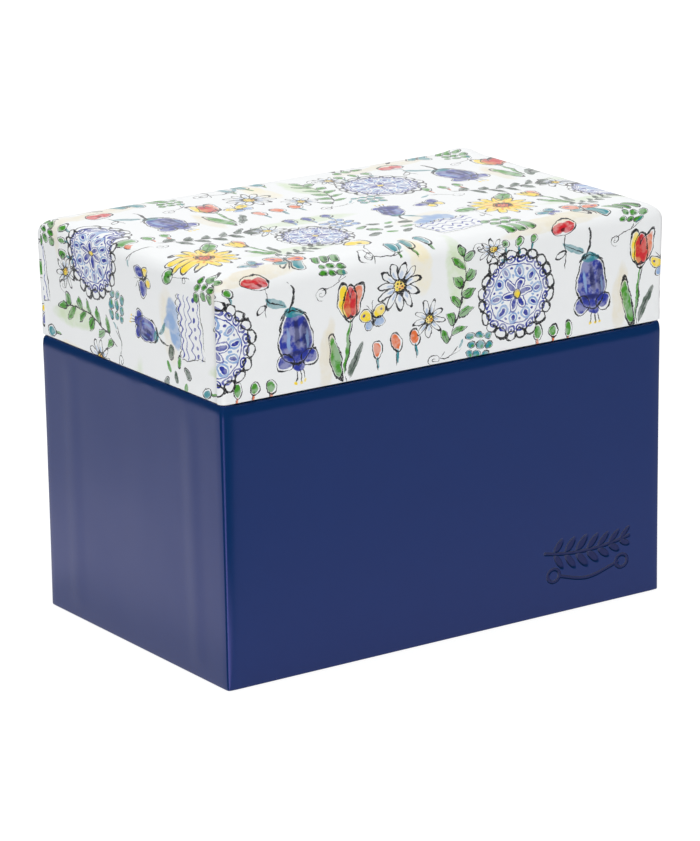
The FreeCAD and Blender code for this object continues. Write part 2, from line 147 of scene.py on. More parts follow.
class CardBoxColours(bpy.types.PropertyGroup):
    """Colours of the coverings, papers and cards."""

    navy: colour("Navy leatherette", "Covering of the base", srgb(2, 46, 93))
    sheen: colour("Navy sheen", "Tint of the reflections on the navy leatherette", srgb(160, 138, 230))
    white: colour("Print ground", "Unprinted ground of the lid covering", srgb(236, 238, 239))
    ink: colour("Ink", "Brushed outlines of the print", srgb(22, 24, 30))
    cobalt: colour("Cobalt", "Main blue of the print", srgb(26, 46, 156))
    deep: colour("Deep blue", "Dark brushwork in the blues of the print", srgb(16, 24, 84))
    powder: colour("Powder blue", "Pale blue of the print", srgb(138, 170, 214))
    teal: colour("Teal", "Blue-green of the print", srgb(28, 138, 150))
    yellow: colour("Yellow", "Yellow of the print", srgb(246, 216, 40))
    orange: colour("Orange", "Orange of the print", srgb(226, 108, 44))
    red: colour("Red", "Red of the print", srgb(206, 26, 40))
    leaf: colour("Leaf green", "Main green of the print", srgb(64, 148, 30))
    pine: colour("Pine green", "Dark green of the print", srgb(22, 68, 38))
    sand: colour("Sand", "Sandy wash of the print", srgb(228, 218, 190))
    mint: colour("Mint", "Pale green wash of the print", srgb(204, 222, 184))
    lining: colour("Lining", "Paper that lines the box and the lid", srgb(236, 233, 226))
    board: colour("Greyboard", "Board inside the walls", srgb(172, 168, 160))
    foam: colour("Foam", "Pad under the covering of the lid", srgb(230, 229, 223))
    underside: colour("Underside", "Card on which the box stands", srgb(48, 48, 53))
    divider: colour("Divider", "Card of the tabbed dividers", srgb(230, 217, 188))
    card: colour("Index card", "Card of the index cards", srgb(241, 241, 238))
    card_rule: colour("Card rule", "Ruled lines of the index cards", srgb(150, 184, 214))
    card_head: colour("Card head rule", "Head line of the index cards", srgb(214, 96, 104))


class CardBoxStudio(bpy.types.PropertyGroup):
    """Camera, lamps and floor."""

    lens: FloatProperty(name="Lens", description="Focal length on a sensor 36 mm high",
                        default=187.2, min=1.0, unit="CAMERA")
    camera_place: FloatVectorProperty(name="Camera", description="Where the camera stands",
                                      default=(-0.80032, -1.17400, 0.47417), subtype="XYZ",
                                      unit="LENGTH")
    yaw: angle("Yaw", "Turn of the camera to the right", 34.238)
    pitch: angle("Pitch", "Tilt of the camera below the horizon", 16.152)
    roll: angle("Roll", "Roll of the camera, anticlockwise above 0", -0.806)
    sky: FloatProperty(name="Sky", description="Strength of the soft light from all round",
                       default=0.64, min=0.0)
    overhead: FloatProperty(name="Overhead lamp", description="Power of the lamp above, in watts",
                            default=9.0, min=0.0, unit="POWER")
    front_fill: FloatProperty(name="Front lamp", description="Power of the lamp in front, in watts",
                              default=8.5, min=0.0, unit="POWER")
    floor_size: length("Floor", "Width of the floor", 12000.0)


def settings():
    """The scene's sizes, colours and studio values."""
    scene = bpy.context.scene
    return scene.card_box_sizes, scene.card_box_colours, scene.card_box_studio


# ---------------------------------------------------------------- shader graphs


class Field:
    """An output of a shader node. Arithmetic on a number that varies adds Math nodes."""

    def __init__(self, graph, socket):
        self.graph = graph
        self.socket = socket

    def math(self, operation, *values):
        """The result of a Math node on these values."""
        inputs = dict(enumerate(values))
        return self.graph.node("ShaderNodeMath", {"operation": operation}, inputs)

    def __add__(self, other):
        return self.math("ADD", self, other)

    __radd__ = __add__

    def __sub__(self, other):
        return self.math("SUBTRACT", self, other)

    def __rsub__(self, other):
        return self.math("SUBTRACT", other, self)

    def __mul__(self, other):
        return self.math("MULTIPLY", self, other)

    __rmul__ = __mul__

    def __truediv__(self, other):
        return self.math("DIVIDE", self, other)

    def __neg__(self):
        return self.math("MULTIPLY", self, -1.0)

    def __abs__(self):
        return self.math("ABSOLUTE", self)

    def __lt__(self, other):
        return self.math("LESS_THAN", self, other)

    def __gt__(self, other):
        return self.math("GREATER_THAN", self, other)

    def near(self, other, reach):
        """1 where the two differ by at most reach, and 0 elsewhere."""
        return self.math("COMPARE", self, other, reach)

    def most(self, other):
        """The larger of the two."""
        return self.math("MAXIMUM", self, other)

    def least(self, other):
        """The smaller of the two."""
        return self.math("MINIMUM", self, other)

    def wrap(self, reach):
        """The number folded into the span from -reach to reach."""
        return self.math("WRAP", self, reach, -reach)

    def fade(self, start, end, high=1.0, low=0.0):
        """high up to start, low from end on, and a smooth passage between them."""
        return self.graph.node("ShaderNodeMapRange", {"interpolation_type": "SMOOTHSTEP", "clamp": False},
                               {"Value": self, "From Min": start, "From Max": end,
                                "To Min": high, "To Max": low})


class Graph:
    """Adds nodes to one node tree."""

    def __init__(self, tree):
        self.tree = tree
        tree.nodes.clear()

    def node(self, kind, values=None, inputs=None, output=0):
        """A node of this kind, with its settings made first and its sockets filled after."""
        made = self.tree.nodes.new(kind)
        for name, value in (values or {}).items():
            setattr(made, name, value)
        for key, value in (inputs or {}).items():
            if isinstance(value, Field):
                self.tree.links.new(value.socket, made.inputs[key])
            else:
                made.inputs[key].default_value = value
        return Field(self, made.outputs[output]) if len(made.outputs) else made

    def vector(self, operation, *values, output=0):
        """The result of a Vector Math node on these values."""
        return self.node("ShaderNodeVectorMath", {"operation": operation},
                         dict(enumerate(values)), output)

    def scaled(self, vector, factor):
        """A vector times a number."""
        return self.node("ShaderNodeVectorMath", {"operation": "SCALE"}, {0: vector, "Scale": factor})

    def mix(self, share, first, second):
        """A colour from first to second, by share."""
        return self.node("ShaderNodeMix", {"data_type": "RGBA"}, {0: share, 6: first, 7: second}, 2)

    def parts(self, point):
        """The three numbers of a point."""
        split = self.node("ShaderNodeSeparateXYZ", inputs={0: point})
        return [Field(self, output) for output in split.socket.node.outputs]

    def place(self):
        """Position on the piece in millimetres."""
        return self.scaled(self.node("ShaderNodeTexCoord", output="Object"), 1 / MM)

    def noise(self, where, size, detail=2.0, rough=0.5, output="Fac", kind="3D"):
        """Soft noise whose features measure about size, in millimetres."""
        return self.node("ShaderNodeTexNoise", {"noise_dimensions": kind},
                         {"Vector": where, "Scale": 1.0 / size, "Detail": detail,
                          "Roughness": rough}, output)

    def cells(self, where, size):
        """How far a place is from the middle of its cell. The cells measure about size."""
        return self.node("ShaderNodeTexVoronoi", inputs={"Vector": where, "Scale": 1.0 / size},
                         output="Distance")

    def bump(self, height, depth, strength=1.0, normal=None):
        """A normal from a height of 0 to 1 and a depth in millimetres."""
        inputs = {"Strength": strength, "Distance": depth * MM, "Height": height}
        if normal is not None:
            inputs["Normal"] = normal
        return self.node("ShaderNodeBump", inputs=inputs)

    def surface(self, **inputs):
        """The tree's Principled shader and its output. Names take _ for a space."""
        sockets = {name.replace("_", " "): value for name, value in inputs.items()}
        shader = self.node("ShaderNodeBsdfPrincipled", inputs=sockets)
        self.node("ShaderNodeOutputMaterial", inputs={"Surface": shader})

    def choose(self, share, first, second):
        """The first shader where the share is 0, and the second where it is 1."""
        return self.node("ShaderNodeMixShader", inputs={0: share, 1: first, 2: second})

    def rays(self):
        """1 for the camera's own rays, and 1 for rays that were mirrored or let through."""
        outputs = self.node("ShaderNodeLightPath").socket.node.outputs
        seen, glossy, passed = (Field(self, outputs[f"Is {kind} Ray"])
                                for kind in ("Camera", "Glossy", "Transmission"))
        return seen, glossy.most(passed)


class Spot:
    """A place on a flat sheet in a motif's own millimetres: two numbers and their combinations."""

    def __init__(self, x, y):
        self.x, self.y = x, y
        self.rows = np.array([(1.0, 0.0, 0.0), (0.0, 1.0, 0.0)])

    def measure(self, row):
        """The sum of x, y and 1, each times its share in the row."""
        a, b, c = (float(v) for v in row)
        if abs(a) > 1e-9:
            rest = self.y.math("MULTIPLY_ADD", self.y, b, c) if abs(b) > 1e-9 else c
            return self.x.math("MULTIPLY_ADD", self.x, a, rest)
        return self.y.math("MULTIPLY_ADD", self.y, b, c)

    def parts(self):
        """The two numbers of the place."""
        return self.measure(self.rows[0]), self.measure(self.rows[1])

    def moved(self, x, y, turn=0.0):
        """The same place as seen from x, y and turned."""
        cosine, sine = math.cos(math.radians(turn)), math.sin(math.radians(turn))
        spot = Spot(self.x, self.y)
        middle = np.array([(0.0, 0.0, x), (0.0, 0.0, y)])
        spot.rows = np.array([(cosine, sine), (-sine, cosine)]) @ (self.rows - middle)
        return spot

    def oval(self, x, y, across, up, turn=0.0):
        """The square of how far out the place is from an oval's middle: 1 on its edge."""
        rows = self.moved(x, y, turn).rows
        u, v = self.measure(rows[0] / across), self.measure(rows[1] / up)
        return u.math("MULTIPLY_ADD", v, v, u * u)

    def fan(self, count, turn=0.0):
        """The place folded into one of count equal sectors round the middle."""
        x, y = self.parts()
        out = x.math("SQRT", x.math("MULTIPLY_ADD", y, y, x * x))
        angle = (x.math("ARCTAN2", y, x) + math.radians(turn)).wrap(math.pi / count)
        return Spot(out * angle.math("COSINE", angle), out * angle.math("SINE", angle))

    def bent(self, bend):
        """The place with level lines bent upwards by bend times x squared."""
        x, y = self.parts()
        return Spot(x, y - x * x * bend)

    def mirrored(self):
        """The place with its left half folded over on to its right half."""
        x, y = self.parts()
        return Spot(abs(x), y)

    def row(self, pitch, beyond, shift=0.0):
        """The place folded along x into a row, with `beyond` repeats on each side of the middle."""
        x, y = self.parts()
        x = x + shift
        step = x / pitch
        step = step.math("ROUND", step).least(beyond).most(-beyond)
        return Spot(x - step * pitch, y)


def new_material(name):
    """A material of this name and the graph of its nodes."""
    material = bpy.data.materials.new(name)
    material.use_nodes = True
    return material, Graph(material.node_tree)


def tone(value, factor):
    """A colour made lighter or darker."""
    return tuple(min(1.0, c * factor) for c in value[:3]) + (1.0,)


# ---------------------------------------------------------------- mesh code


class Walls:
    """Stations round a rounded rectangle, counter-clockwise from the left end of the front.

    Each side has its stations at given shares of its straight run, and each corner has the
    same number of stations, evenly spaced over its quarter turn. `ahead` is 1 everywhere but
    towards the back.
    """

    SIGNS = ((-1, -1), (1, -1), (1, 1), (-1, 1))

    def __init__(self, half, shares, corner_steps):
        self.half = np.array(half)
        self.corner_middles = []
        rows = []
        for side in range(4):
            start, end = self.SIGNS[side], self.SIGNS[(side + 1) % 4]
            rows += [(*start, *end, share, 0.0, side) for share in shares[side % 2]]
            self.corner_middles.append(len(rows) + corner_steps // 2)
            rows += [(*end, *end, 0.0, step / corner_steps, side) for step in range(corner_steps)]
        table = np.array(rows, float)
        self.before, self.after, self.share = table[:, 0:2], table[:, 2:4], table[:, 4:5]
        self.turn, self.side = table[:, 5], table[:, 6].astype(int)
        self.facing = np.radians(90.0 * self.side - 90.0)
        self.straight = (self.before != self.after).any(1)
        angle = self.facing + self.turn * math.pi / 2
        self.out = np.stack([np.cos(angle), np.sin(angle)], 1)
        self.ahead = 1 - smooth_step(0.3, 0.9, self.out[:, 1])
        self.count = len(rows)

    def level(self, inset, radius, z, turned=(0.0, 0.0), reach=(1.0, 1.0)):
        """The stations' places at one level, moved in by inset, with corners of that radius.

        The front and back, and then the sides, turn inwards by the given angles over the last
        `reach` of their runs before the corners.
        """
        turned, reach = np.array(turned), np.array(reach)
        sink = np.tan(turned) * reach / 2
        middle = self.half - inset - (sink + radius * np.cos(turned))[::-1]
        run = middle + radius * np.sin(turned)
        ways = (1 - self.share) * self.before + self.share * self.after
        long_side = self.side % 2 == 0
        along = ways * run
        to_end = np.where(long_side, run[0] - abs(along[:, 0]), run[1] - abs(along[:, 1]))
        near = np.clip(1 - to_end / np.where(long_side, *reach), 0, None) ** 2
        across = np.where(long_side, self.half[1], self.half[0]) - inset - near * np.where(long_side, *sink)
        flat = along * (1 - abs(self.out)) + self.out * across[:, None]
        first, last = np.where(long_side, *turned), np.where(long_side, *turned[::-1])
        bearing = self.facing + first + self.turn * (math.pi / 2 - first - last)
        round_part = middle * self.after + radius * np.stack([np.cos(bearing), np.sin(bearing)], 1)
        places = np.where(self.straight[:, None], flat, round_part)
        return np.column_stack([places, np.full(self.count, z)])


def arc(inset, z, radius, first, last, steps):
    """Points of a wall's section on an arc, as (inset, z), between two angles in degrees.

    0 degrees points inwards and 90 upwards.
    """
    turns = np.radians(np.linspace(first, last, steps + 1))
    return [(inset + radius * math.cos(a), z + radius * math.sin(a)) for a in turns]


def line(start, end, step):
    """Points of a wall's section on a straight run, without its two ends."""
    start, end = np.array(start), np.array(end)
    count = max(1, round(float(np.linalg.norm(end - start)) / step))
    return [tuple(start + (end - start) * i / count) for i in range(1, count)]


def even_shares(span, step):
    """Shares of a straight run about step apart, from 0 up to the last before 1."""
    count = max(2, round(span / step))
    return [i / count for i in range(count)]


def close_ended(span, step):
    """Shares of a straight run that crowd together near both ends."""
    near = [0.0, 0.5, 1.0, 1.5, 2.1, 2.7, 3.4, 4.2, 5.2, 6.5]
    between = span - 2 * near[-1]
    count = round(between / step)
    inner = [near[-1] + between * i / count for i in range(1, count)]
    far = [span - d for d in reversed(near[1:])]
    return [d / span for d in near + inner + far]


def seamed_shares(span, seam, step):
    """Shares of a run about step apart, with a pair of stations over the ramp of each seam."""
    edge = seam + SEAM_RAMP
    between = span - 2 * edge
    count = round(between / step)
    inner = [(edge + between * i / count) / span for i in range(count + 1)]
    return [0.0, seam / span, *inner, 1 - seam / span]


def coons(walls, ring):
    """A grid of points that fills a closed ring, and the stations on the grid's edges."""
    corners = [walls.corner_middles[i - 1] for i in range(4)]

    def run(first, last):
        """The stations from first to last, counter-clockwise."""
        return [(first + i) % walls.count for i in range((last - first) % walls.count + 1)]

    front, right, back, left = (run(corners[i], corners[(i + 1) % 4]) for i in range(4))
    back, left = back[::-1], left[::-1]
    u = np.linspace(0, 1, len(front))[:, None, None]
    v = np.linspace(0, 1, len(right))[None, :, None]
    near, far = ring[front][:, None], ring[back][:, None]
    first, last = ring[left][None], ring[right][None]
    corner = (1 - u) * (1 - v) * near[:1] + u * (1 - v) * near[-1:] \
        + (1 - u) * v * far[:1] + u * v * far[-1:]
    grid = (1 - v) * near + v * far + (1 - u) * first + u * last - corner
    edges = {(i, 0): station for i, station in enumerate(front)}
    edges |= {(i, len(right) - 1): station for i, station in enumerate(back)}
    edges |= {(0, j): station for j, station in enumerate(left)}
    edges |= {(len(front) - 1, j): station for j, station in enumerate(right)}
    return grid, edges


def new_piece(name, points, faces, sheet=None):
    """A smooth-shaded object from points and faces, with the print's map if it is given."""
    mesh = bpy.data.meshes.new(name)
    mesh.from_pydata([tuple(map(float, p)) for p in points], [], faces)
    if sheet is not None:
        layer = mesh.uv_layers.new(name="print_sheet")
        layer.data.foreach_set("uv", np.array(sheet, np.float32).ravel())
    mesh.polygons.foreach_set("use_smooth", [True] * len(mesh.polygons))
    mesh.update()
    shell = bmesh.new()
    shell.from_mesh(mesh)
    open_edges = sum(not edge.is_manifold for edge in shell.edges)
    shell.free()
    if open_edges:
        raise RuntimeError(f"{name} is not closed: {open_edges} open edges")
    piece = bpy.data.objects.new(name, mesh)
    bpy.context.scene.collection.objects.link(piece)
    return piece


def strips(walls, levels):
    """Faces between neighbouring levels of stations, facing outwards when levels go down."""
    faces = []
    for k in range(levels - 1):
        here, below = k * walls.count, (k + 1) * walls.count
        for s in range(walls.count):
            t = (s + 1) % walls.count
            faces.append((here + s, below + s, below + t, here + t))
    return faces


def capped(walls, rings, raised=None):
    """Points and faces of a stack of levels, closed by a grid above the first and below the last.

    `raised` gives the height of a point of the upper grid from its place.
    """
    points = [tuple(p) for p in np.concatenate(rings)]
    faces = strips(walls, len(rings))
    for which, upper in ((0, True), (len(rings) - 1, False)):
        grid, edges = coons(walls, rings[which])
        number = {}
        for i, j in np.ndindex(*grid.shape[:2]):
            if (i, j) in edges:
                number[i, j] = which * walls.count + edges[i, j]
                continue
            x, y, z = grid[i, j]
            number[i, j] = len(points)
            points.append((x, y, raised(x, y, z) if raised and upper else z))
        for i, j in np.ndindex(grid.shape[0] - 1, grid.shape[1] - 1):
            quad = (number[i, j], number[i + 1, j], number[i + 1, j + 1], number[i, j + 1])
            faces.append(quad if upper else quad[::-1])
    return points, faces


def smooth_step(low, high, value):
    """0 as far as low, 1 from high on, and a smooth passage between. Low may be the larger."""
    t = np.clip((value - low) / (high - low), 0.0, 1.0)
    return t * t * (3 - 2 * t)


def hump(value, middle, reach):
    """1 at the middle, smoothly down to 0 at the given distance from it."""
    return 1 - smooth_step(0.0, reach, np.abs(value - middle))


def rumple(points, size, seed):
    """Smooth noise from -1 to 1 at each point, with swells of about that size."""
    return np.array([noise.noise(Vector(p) / size + Vector((seed, 0.0, 0.0))) for p in points])


# ---------------------------------------------------------------- materials


@functools.cache
def navy_leatherette():
    """Semi-gloss coated leatherette with a fine pressed grain and a blind-pressed sprig, whose groove is
    painted darker as painted shade.
    """
    colours = settings()[1]
    material, graph = new_material("navy_leatherette")
    where = graph.place()
    mottle = graph.noise(where, size=14.0, detail=3.0)
    pebble = graph.cells(where, size=0.42)
    fine = graph.noise(where, size=0.16)
    grain = pebble.fade(0.1, 0.75) * 0.7 + fine * 0.3
    x, y, z = graph.parts(where)
    sprig = pressed_sprig(x - SPRIG_MIDDLE[0], z - SPRIG_MIDDLE[1])
    on_front = y < -50.0
    sprig = sprig * on_front
    shade = graph.mix(mottle * 0.35, colours.navy, tone(colours.navy, 0.84))
    # Painted shade: the pressed sprig's groove is painted darker, to 0.4 of the navy, on top of its bump.
    shade = graph.mix(sprig * 0.7, shade, tone(colours.navy, 0.4))
    rough = mottle * 0.06 + 0.17 + sprig * 0.12
    skin = graph.bump(grain, depth=0.012, strength=0.4)
    pressed = graph.bump(1.0 - sprig, depth=0.6, normal=skin)
    graph.surface(Base_Color=shade, Roughness=rough, Normal=pressed, IOR=1.8, Specular_Tint=colours.sheen)
    return material


def pressed_sprig(across, up):
    """How deep a leaf sprig over a curl is pressed into the front, from 0 to 1, round its middle."""
    bend = up - across * across * 0.006 + 1.0
    pressed = abs(bend).fade(0.25, 0.75) * abs(across).fade(17.4, 18.6)
    spot = Spot(across, bend)
    for i in range(7):
        at = -14.0 + 4.6 * i
        reach = 6.3 - 0.42 * abs(i - 2)
        for way in (1, -1):
            turn = (54 - 3 * i) * way
            run, rise = math.cos(math.radians(turn)), math.sin(math.radians(turn))
            out = spot.oval(at + reach * 0.6 * run, reach * 0.62 * rise, reach * 0.52, reach * 0.2, turn)
            pressed = pressed.most(out.fade(0.5, 1.5))
    curl = up + (across * 0.19).math("COSINE", across * 0.19) * 1.6 + 9.0
    pressed = pressed.most(abs(curl).fade(0.25, 0.75) * abs(across - 0.5).fade(12.0, 13.4))
    round_end = Spot(across, up)
    for middle, rise in ((14.6, -7.6), (-14.2, -7.4)):
        ring = round_end.oval(middle, rise, 2.5, 2.3)
        pressed = pressed.most(abs(ring - 1.0).fade(0.2, 0.6))
    return pressed


class Painting:
    """Washes and ink drawn in one node tree, at places in millimetres.

    Washes are laid one over another, and the ink is gathered in one mask and laid last.
    """

    def __init__(self, graph, flow, pressure, colour, ink):
        self.graph, self.flow, self.pressure, self.colour, self.ink = graph, flow, pressure, colour, ink

    def lay(self, mask, pigment, strength=1.0):
        """Washes a pigment over the sheet where the mask says so."""
        self.colour = self.graph.mix(mask * self.flow * strength, self.colour, pigment)

    def wash(self, place, x, y, across, up, pigment, turn=0.0, strength=1.0, soft=0.14):
        """An oval wash of pigment."""
        self.lay(place.oval(x, y, across, up, turn).fade((1 - soft) ** 2, 1.0), pigment, strength)

    def trace(self, place, x, y, across, up, pigment, width=0.3, turn=0.0):
        """A thin line of pigment round an oval."""
        self.lay(place.oval(x, y, across, up, turn).near(1.0, 2 * width / min(across, up)), pigment)

    def outline(self, place, x, y, across, up, width=0.2, turn=0.0):
        """An ink line round an oval."""
        out, thin = place.oval(x, y, across, up, turn), min(across, up) / (2 * width)
        self.add_ink(abs(out.math("MULTIPLY_ADD", out, thin, -thin)) < self.pressure)

    def stroke(self, place, x, y, reach, width, turn=0.0):
        """A short ink stroke that tapers to both ends."""
        self.add_ink(place.oval(x, y, reach, width, turn) < self.pressure)

    def add_ink(self, mask):
        """Adds a mask to the ink."""
        self.ink = mask.most(self.ink)


class PrintSheet(Painting):
    """The lid's printed sheet. Every motif repeats with the sheet, like wallpaper."""

    REPEAT = (118.0, 96.0)

    def __init__(self, graph, colours):
        sheet = graph.node("ShaderNodeUVMap", {"uv_map": "print_sheet"})
        flat = graph.scaled(sheet, SHEET_UNIT)
        sway = graph.noise(flat, size=7.0, detail=1.0, output="Color", kind="2D")
        fray = graph.noise(flat, size=1.3, rough=0.6, output="Color", kind="2D")
        sway = graph.scaled(graph.vector("SUBTRACT", sway, (0.5, 0.5, 0.5)), 2.4)
        fray = graph.scaled(graph.vector("SUBTRACT", fray, (0.5, 0.5, 0.5)), 0.62)
        self.where = graph.vector("ADD", graph.vector("ADD", flat, sway), fray)
        self.flat = flat
        flow = graph.noise(flat, size=3.6, detail=3.0, rough=0.6, kind="2D")
        flow = flow.fade(0.38, 0.62, 1.0, 0.7)
        pressure = graph.noise(flat, size=3.4, detail=1.0, kind="2D").fade(0.3, 0.7, 0.6, 1.6)
        super().__init__(graph, flow, pressure, colours.white, 0.0)

    def motif(self, x, y, turn=0.0, size=1.0):
        """The place inside a motif whose middle is at x, y in each repeat."""
        half = (self.REPEAT[0] / 2, self.REPEAT[1] / 2)
        moved = self.graph.vector("SUBTRACT", self.where, (x, y, 0.0))
        repeated = self.graph.vector("WRAP", moved, (*half, 1.0), (-half[0], -half[1], -1.0))
        cosine, sine = math.cos(math.radians(turn)) / size, math.sin(math.radians(turn)) / size
        return Spot(*(self.graph.vector("DOT_PRODUCT", repeated, row, output="Value")
                      for row in ((cosine, sine, 0.0), (-sine, cosine, 0.0))))

    def stamp(self, tree, place):
        """Prints a motif's node group at a place."""
        self.colour = self.graph.node("ShaderNodeGroup", {"node_tree": tree}, {
            "Along": place.x, "Up": place.y, "Flow": self.flow, "Pressure": self.pressure,
            "Colour": self.colour, "Ink": self.ink})
        self.ink = Field(self.graph, self.colour.socket.node.outputs["Ink"])

    def finished(self, ink):
        """The sheet's colour with its ink on."""
        dry = self.graph.noise(self.flat, size=0.55, detail=1.0, kind="2D")
        dry = dry.fade(0.28, 0.46, 0.62, 1.0)
        return self.graph.mix(self.ink * dry, self.colour, ink)


def block(draw):
    """Makes a motif's drawing function print from a node group, which is drawn only once."""

    @functools.cache
    def cut(*choices):
        """The node group of this motif in these pigments or with this many petals."""
        tree = bpy.data.node_groups.new(draw.__name__.replace("draw_", "print_"), "ShaderNodeTree")
        for name, kind in (("Along", "Float"), ("Up", "Float"), ("Flow", "Float"),
                           ("Pressure", "Float"), ("Colour", "Color"), ("Ink", "Float")):
            tree.interface.new_socket(name, in_out="INPUT", socket_type="NodeSocket" + kind)
        for name, kind in (("Colour", "Color"), ("Ink", "Float")):
            tree.interface.new_socket(name, in_out="OUTPUT", socket_type="NodeSocket" + kind)
        graph = Graph(tree)
        entry = graph.node("NodeGroupInput").socket.node
        along, up, *rest = (Field(graph, socket) for socket in list(entry.outputs)[:6])
        painting = Painting(graph, *rest)
        colours = settings()[1]
        pigments = [getattr(colours, v) if isinstance(v, str) else v for v in choices]
        draw(painting, colours, Spot(along, up), *pigments)
        graph.node("NodeGroupOutput", inputs={"Colour": painting.colour, "Ink": painting.ink})
        return tree

    def printed(sheet, x, y, turn=0.0, size=1.0, *choices):
        """Prints the motif on the sheet at x, y, turned and scaled."""
        sheet.stamp(cut(*choices), sheet.motif(x, y, turn, size))

    return printed


def draw_backwash(brush, hues):
    """Broad pale strokes behind the motifs."""
    for x, y, across, up, turn, pigment, strength in (
            (44, 45, 26, 3.4, 6, hues.sand, 0.55), (96, 90, 21, 4.2, -4, hues.mint, 0.6),
            (12, 70, 15, 5.2, 8, hues.sand, 0.35), (107, 38, 4.8, 13, 3, hues.yellow, 0.22),
            (70, 60, 18, 3.4, -8, hues.mint, 0.45), (3, 32, 4.8, 14, 6, hues.mint, 0.7),
            (70, 12, 3.6, 12, -4, hues.sand, 0.55)):
        place = brush.motif(x, y, turn)
        brush.wash(place, 0, 0, across, up, pigment, strength=strength, soft=0.35)
        brush.wash(place, across * 0.22, up * 0.5, across * 0.6, up * 0.7, pigment, 3, strength * 0.7, 0.4)


@block
def draw_rosette(brush, hues, place):
    """A round blue medallion of petals, loops and dots."""
    rim = place.fan(20)
    brush.outline(rim, 14.0, 0, 1.5, 2.1, 0.26)
    brush.trace(rim, 12.1, 0, 1.1, 1.5, hues.cobalt, 0.26)
    brush.wash(rim, 12.1, 0, 0.42, 0.6, hues.cobalt)
    brush.trace(place, 0, 0, 10.3, 10.3, hues.cobalt, 0.2)
    petal = place.fan(10)
    brush.wash(petal, 8.1, 0, 1.5, 0.85, hues.cobalt)
    brush.trace(petal, 8.0, 0, 2.0, 1.5, hues.powder, 0.3)
    between = place.fan(10, 18)
    brush.wash(between, 8.9, 0, 0.5, 0.5, hues.cobalt)
    brush.wash(between, 6.3, 0, 0.8, 0.42, hues.powder)
    star = place.fan(6)
    brush.wash(star, 3.2, 0, 2.1, 0.95, hues.cobalt)
    brush.trace(star, 3.3, 0, 2.6, 1.5, hues.cobalt, 0.16)
    brush.wash(place, 0, 0, 1.25, 1.25, hues.yellow)
    brush.outline(place, 0, 0, 1.4, 1.4, 0.16)


@block
def draw_bellflower(brush, hues, place):
    """A large cobalt bellflower with a teal calyx."""
    brush.wash(place, 0, 0, 6.2, 8.4, hues.cobalt, soft=0.06)
    brush.wash(place, -4.6, -7.4, 2.8, 2.6, hues.cobalt)
    brush.wash(place, 0.1, -8.6, 2.8, 2.7, hues.cobalt)
    brush.wash(place, 4.7, -7.2, 2.8, 2.6, hues.cobalt)
    brush.wash(place, 4.0, 0.4, 1.9, 7.2, hues.deep, -3, 0.8, 0.6)
    brush.wash(place, 0.6, 1.6, 1.5, 6.0, hues.deep, 4, 0.9, 0.6)
    brush.wash(place, -0.6, -5.2, 4.4, 1.2, hues.deep, 6, 0.75, 0.6)
    brush.wash(place, -2.9, 0.4, 0.9, 5.2, hues.powder, 7, 0.95, 0.5)
    brush.wash(place, 4.4, -1.2, 0.55, 3.6, hues.powder, -8, 0.7, 0.5)
    brush.wash(place, 0, 8.7, 3.9, 2.0, hues.teal)
    brush.wash(place, -6.4, 13.5, 5.4, 1.5, hues.teal, -32, 0.85)
    side = place.mirrored()
    brush.outline(side, -0.3, 0.2, 6.9, 9.2, 0.2)
    brush.outline(side, 4.7, -7.5, 3.2, 3.0, 0.18)
    brush.stroke(side, 2.9, 9.0, 2.4, 0.3, -35)
    stem = place.moved(0.4, 14.0, 82).bent(0.035)
    brush.stroke(stem, 0, 0, 5.4, 0.5)
    brush.stroke(place, -6.2, 13.4, 5.0, 0.18, -32)
    for at, tilt in ((-1.3, -8), (0.2, 3), (1.6, 12)):
        brush.stroke(place, at, -12.4, 0.2, 2.0, tilt)
        brush.wash(place, at * 1.3, -14.6, 0.62, 0.62, hues.yellow)


@block
def draw_tulip(brush, hues, place, bloom=None):
    """A tulip on a leafy stem."""
    bloom = bloom or hues.red
    brush.wash(place, -2.0, 9.0, 2.0, 5.0, hues.yellow, 14)
    brush.wash(place, 2.0, 9.0, 2.0, 5.0, hues.orange, -14, 0.9)
    brush.wash(place, 0, 8.4, 2.3, 5.2, bloom)
    brush.wash(place, -3.3, -7.6, 1.7, 7.0, hues.leaf, 17)
    brush.wash(place, 3.5, -8.6, 1.4, 6.0, hues.pine, -22, 0.9)
    brush.wash(place, 0.1, -4.6, 0.5, 9.0, hues.leaf)
    side = place.mirrored()
    brush.outline(side, 2.1, 9.2, 2.3, 5.3, 0.16, -15)
    brush.outline(place, 0, 8.2, 2.5, 5.6, 0.18)
    brush.stroke(place, 0.7, -4.4, 0.18, 9.0, -2)
    brush.outline(place, -3.4, -7.4, 1.9, 7.4, 0.15, 17)
    brush.stroke(place, 3.5, -8.6, 0.16, 5.6, -22)


@block
def draw_daisy(brush, hues, place, petals=11):
    """A white daisy in ink outline with a dotted yellow middle."""
    petal = place.fan(petals)
    brush.wash(petal, 3.6, 0.2, 1.6, 0.55, hues.powder, 0, 0.65, 0.5)
    brush.outline(petal, 4.9, 0, 2.9, 1.15, 0.15)
    brush.wash(place, 0, 0, 2.0, 2.0, hues.yellow)
    brush.wash(place, 0.6, -0.6, 1.1, 1.0, hues.orange, 0, 0.7, 0.5)
    brush.outline(place, 0, 0, 2.1, 2.1, 0.14)
    brush.stroke(place.fan(5, 20), 1.0, 0, 0.32, 0.32)


